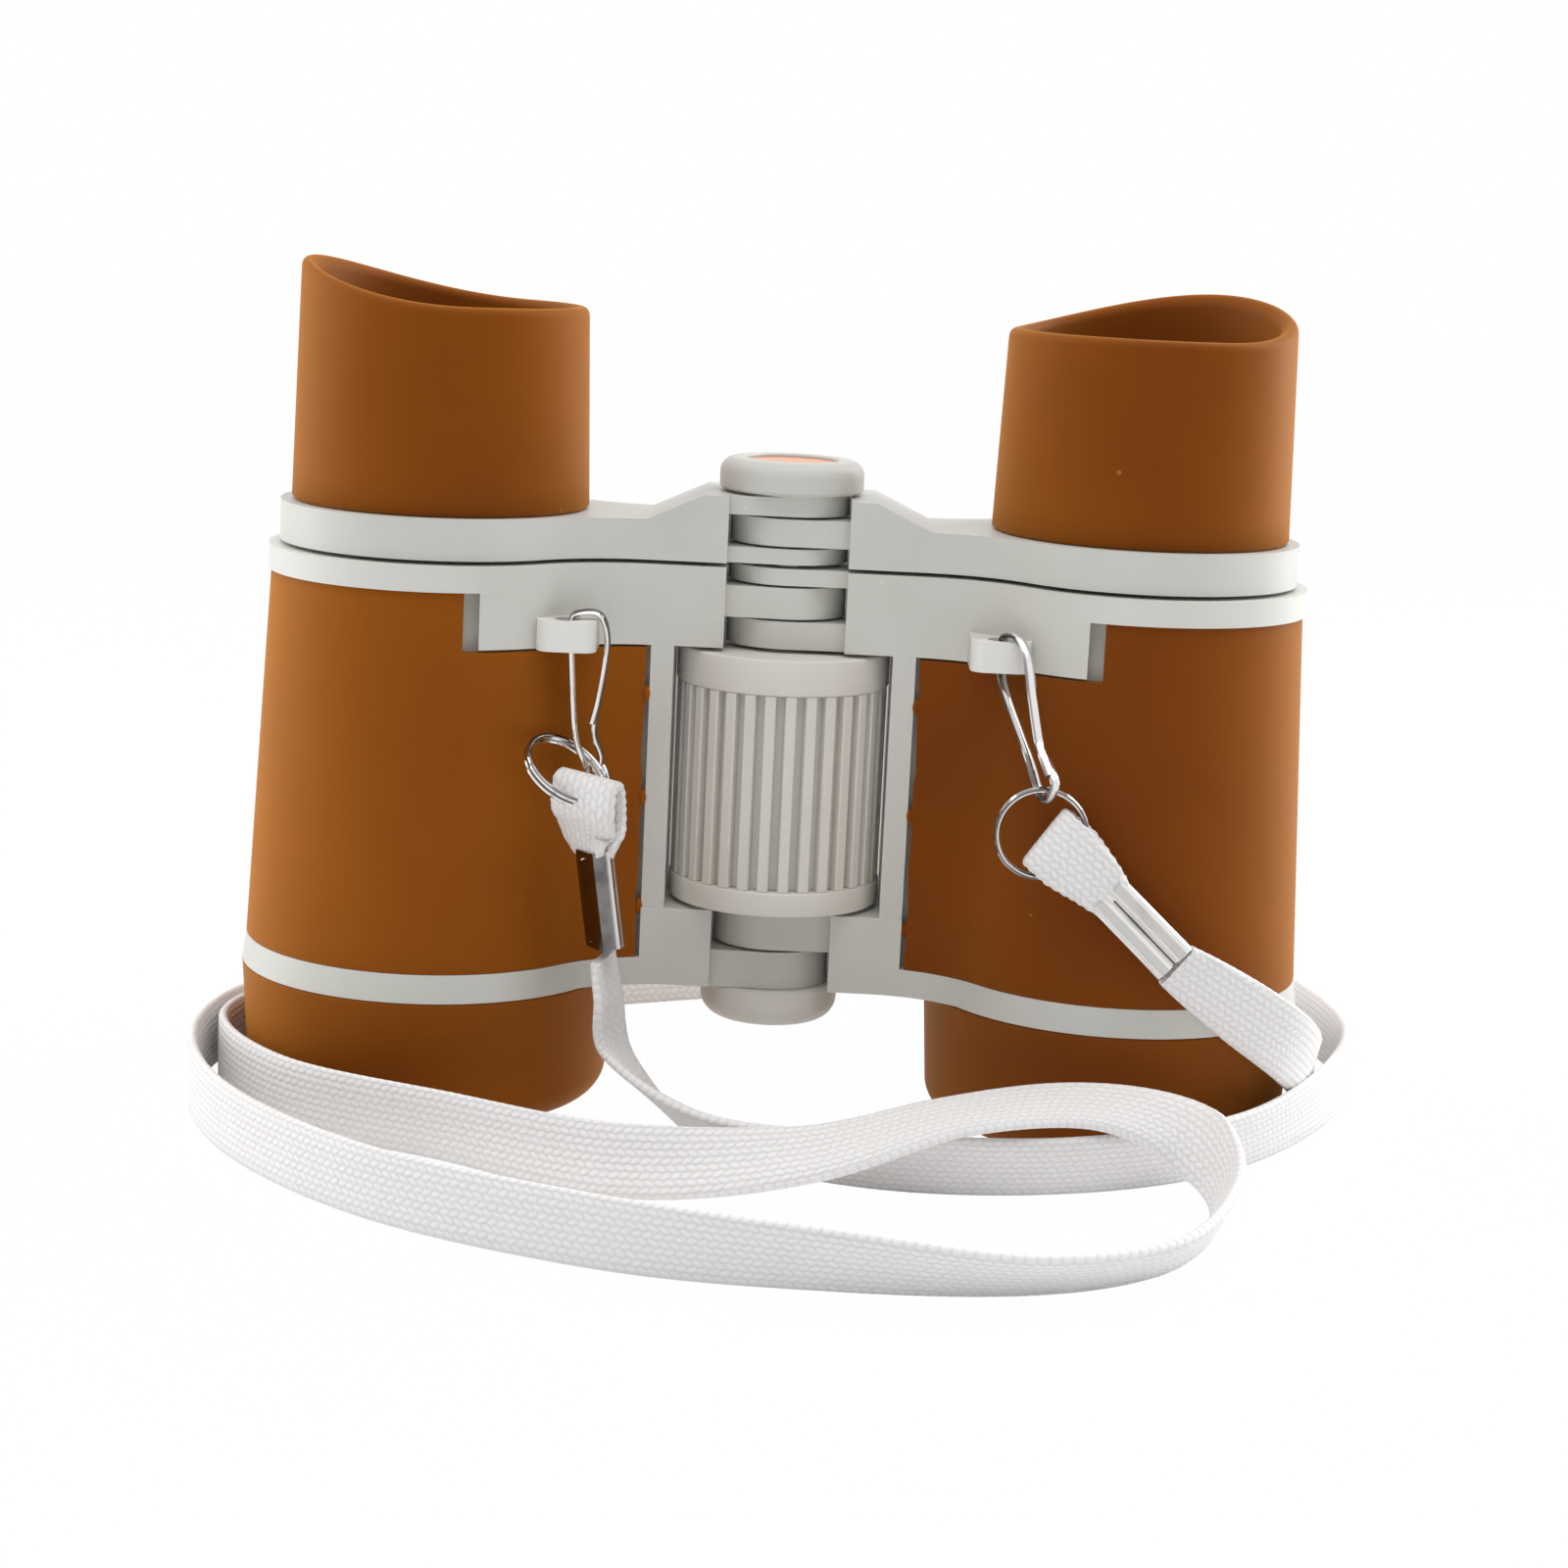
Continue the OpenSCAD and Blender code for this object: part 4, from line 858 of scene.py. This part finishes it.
def makeWheel(w):
    shoulder = w["radius"] - w["shoulder"]
    flank = [(w["groove"], w["ribFoot"]), (shoulder, w["ribShoulder"]), (w["radius"], w["ribTop"])]
    rib = [(r, -a) for r, a in flank] + flank[::-1]
    outline = []
    for k in range(w["ribs"]):
        middle = math.tau * (k + 0.5) / w["ribs"]
        for r, a in rib:
            t = middle + a * w["ribWide"] / w["radius"]
            outline.append((r * math.cos(t), r * math.sin(t)))
    drum = slabFrom(outline, w["foot"] - w["overlap"], w["neck"] + w["overlap"])
    level = [e for e in drum.edges if abs(e.verts[0].co.z - e.verts[1].co.z) < nothing]
    soften(drum, level, w["ribEnd"], w["endCuts"])
    c, r, b, cuts = w["round"], w["collar"], w["bore"], w["roundCuts"]
    collars = []
    for low, high in ((w["low"], w["foot"]), (w["neck"], w["high"])):
        profile = [(b, low), (r - c, low)] + arcPoints((r - c, low + c), c, -90, 0, cuts)[1:]
        profile += arcPoints((r - c, high - c), c, 0, 90, cuts) + [(b, high)]
        collars.append(turned(profile, (0, 0), w["steps"]))
    bm = together(drum, *collars)
    addPiece(bm, "focusWheelRibbed", "wheel", "focus_wheel", ["focus_wheel"], sharp=25)


caps = {
    "steps": 96, "edge": 0.25,
    "top": {"low": 63.3, "high": 66.45, "radius": 7.2, "round": 1.5, "cuts": 8,
            "well": 4.65, "deep": 0.85, "lip": 0.15},
    "bottom": {"low": 9.25, "high": 13.2, "radius": 7.0, "round": 2.2, "cuts": 10},
    "disc": {"low": 65.58, "high": 66.1, "radius": 4.6, "round": 0.2, "cuts": 4, "dome": 0.12},
}


def makeCaps(c):
    edge, steps = c["edge"], c["steps"]
    t = c["top"]
    floor = t["high"] - t["deep"]
    profile = [(0, t["low"]), (t["radius"] - edge, t["low"]), (t["radius"], t["low"] + edge)]
    profile += arcPoints((t["radius"] - t["round"], t["high"] - t["round"]), t["round"], 0, 90, t["cuts"])
    profile += [(t["well"] + t["lip"], t["high"]), (t["well"], t["high"] - t["lip"])]
    profile += [(t["well"], floor), (0, floor)]
    bm = turned(profile, (0, 0), steps, closed=False)
    addPiece(bm, "topHingeCap", "arm", "left_eyepiece", ["top_cap"])
    d = c["disc"]
    profile = [(0, d["low"]), (d["radius"], d["low"])]
    profile += arcPoints((d["radius"] - d["round"], d["high"] - d["round"]), d["round"], 0, 90, d["cuts"])
    profile.append((0, d["high"] + d["dome"]))
    bm = turned(profile, (0, 0), steps, closed=False)
    addPiece(bm, "capDisc", "disc", "left_eyepiece", ["cap_disc"])
    b = c["bottom"]
    profile = [(0, b["low"])]
    profile += arcPoints((b["radius"] - b["round"], b["low"] + b["round"]), b["round"], -90, 0, b["cuts"])
    profile += [(b["radius"], b["high"] - edge), (b["radius"] - edge, b["high"]), (0, b["high"])]
    bm = turned(profile, (0, 0), steps, closed=False)
    addPiece(bm, "bottomHingeCap", "wheel", "left_body", ["bottom_cap"])


makeWheel(wheel)
makeCaps(caps)
print("wheel and caps made")


# solids that keep their shape, under better finishes

keptFinish = {
    "objective_lens": "lens", "eye_lens": "lens", "objective_ring": "dark", "eye_lens_ring": "dark",
    "eyepiece_tube": "dark", "focus_screw": "steel", "hinge_tube": "steel", "hinge_pin": "steel",
}
for node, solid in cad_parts.items():
    for word, finish in keptFinish.items():
        if node.endswith(word):
            for slot in solid.material_slots:
                slot.material = finishes[finish]
print("kept solids finished")


# floor, world and lamps

def shownRays(wire):  # 1 where the camera, a shiny face or a lens looks, 0 where light bounces
    rays = ("Is Camera Ray", "Is Glossy Ray", "Is Transmission Ray")
    seen, shiny, through = (wire.node("LightPath", {}, {}, out=ray) for ray in rays)
    return (seen + shiny + through).clamp()


floorLook = {
    "size": 4.0, "drop": -0.00005, "tone": (0.95, 0.95, 0.95, 1), "rough": 0.9, "specular": 0.1,
    "white": 0.985,  # how much of the white glow the camera sees, the rest is the matt floor with its shadow
}


def layFloor(f):
    bm = bmesh.new()
    bmesh.ops.create_grid(bm, x_segments=1, y_segments=1, size=f["size"] / 2)
    bmesh.ops.translate(bm, verts=bm.verts, vec=(0, 0, f["drop"]))
    mesh = bpy.data.meshes.new("paleFloor")
    bm.to_mesh(mesh)
    bm.free()
    material, wire, shader = startMaterial("paleFloor", {
        "Base Color": f["tone"], "Roughness": f["rough"], "Specular IOR Level": f["specular"]})
    matt = Wire(wire.tree, shader.outputs[0])
    glow = wire.node("Emission", {}, {"Color": (1, 1, 1, 1), "Strength": 1.0})
    blend = wire.node("MixShader", {}, {0: shownRays(wire) * f["white"], 1: matt, 2: glow})
    wire.tree.links.new(blend.socket, wire.tree.nodes["Material Output"].inputs["Surface"])
    mesh.materials.append(material)
    floor = bpy.data.objects.new("paleFloor", mesh)
    scene.collection.objects.link(floor)


studio = {
    "ambient": 0.43,  # the world's light on the object, which the camera sees as white
    "lamps": {
        "leftBox": {"place": (-0.5, 0.1, 0.28), "size": (0.4, 0.6), "power": 2.2},
        "rightBox": {"place": (0.5, 0.26, 0.26), "size": (0.4, 0.6), "power": 3.3},
        "topBox": {"place": (0.05, -0.2, 0.7), "size": (0.7, 0.5), "power": 2.3},
    },
    "aim": (0, 0, 0.035),
}


def lightStudio(s):
    world = bpy.data.worlds.new("studioWorld")
    scene.world = world
    world.use_nodes = True
    wire = Wire(world.node_tree)
    background = world.node_tree.nodes["Background"]
    strength = shownRays(wire) * (1.0 - s["ambient"]) + s["ambient"]
    background.inputs["Color"].default_value = (1, 1, 1, 1)
    world.node_tree.links.new(strength.socket, background.inputs["Strength"])
    for name, lamp in s["lamps"].items():
        data = bpy.data.lights.new(name, "AREA")
        data.shape, data.size, data.size_y = "RECTANGLE", *lamp["size"]
        data.energy = lamp["power"]
        light = bpy.data.objects.new(name, data)
        place = Vector(lamp["place"])
        light.location = place
        light.rotation_euler = (Vector(s["aim"]) - place).to_track_quat("-Z", "Y").to_euler()
        scene.collection.objects.link(light)


scene.view_settings.view_transform = "Standard"
layFloor(floorLook)
lightStudio(studio)
print("studio lit")
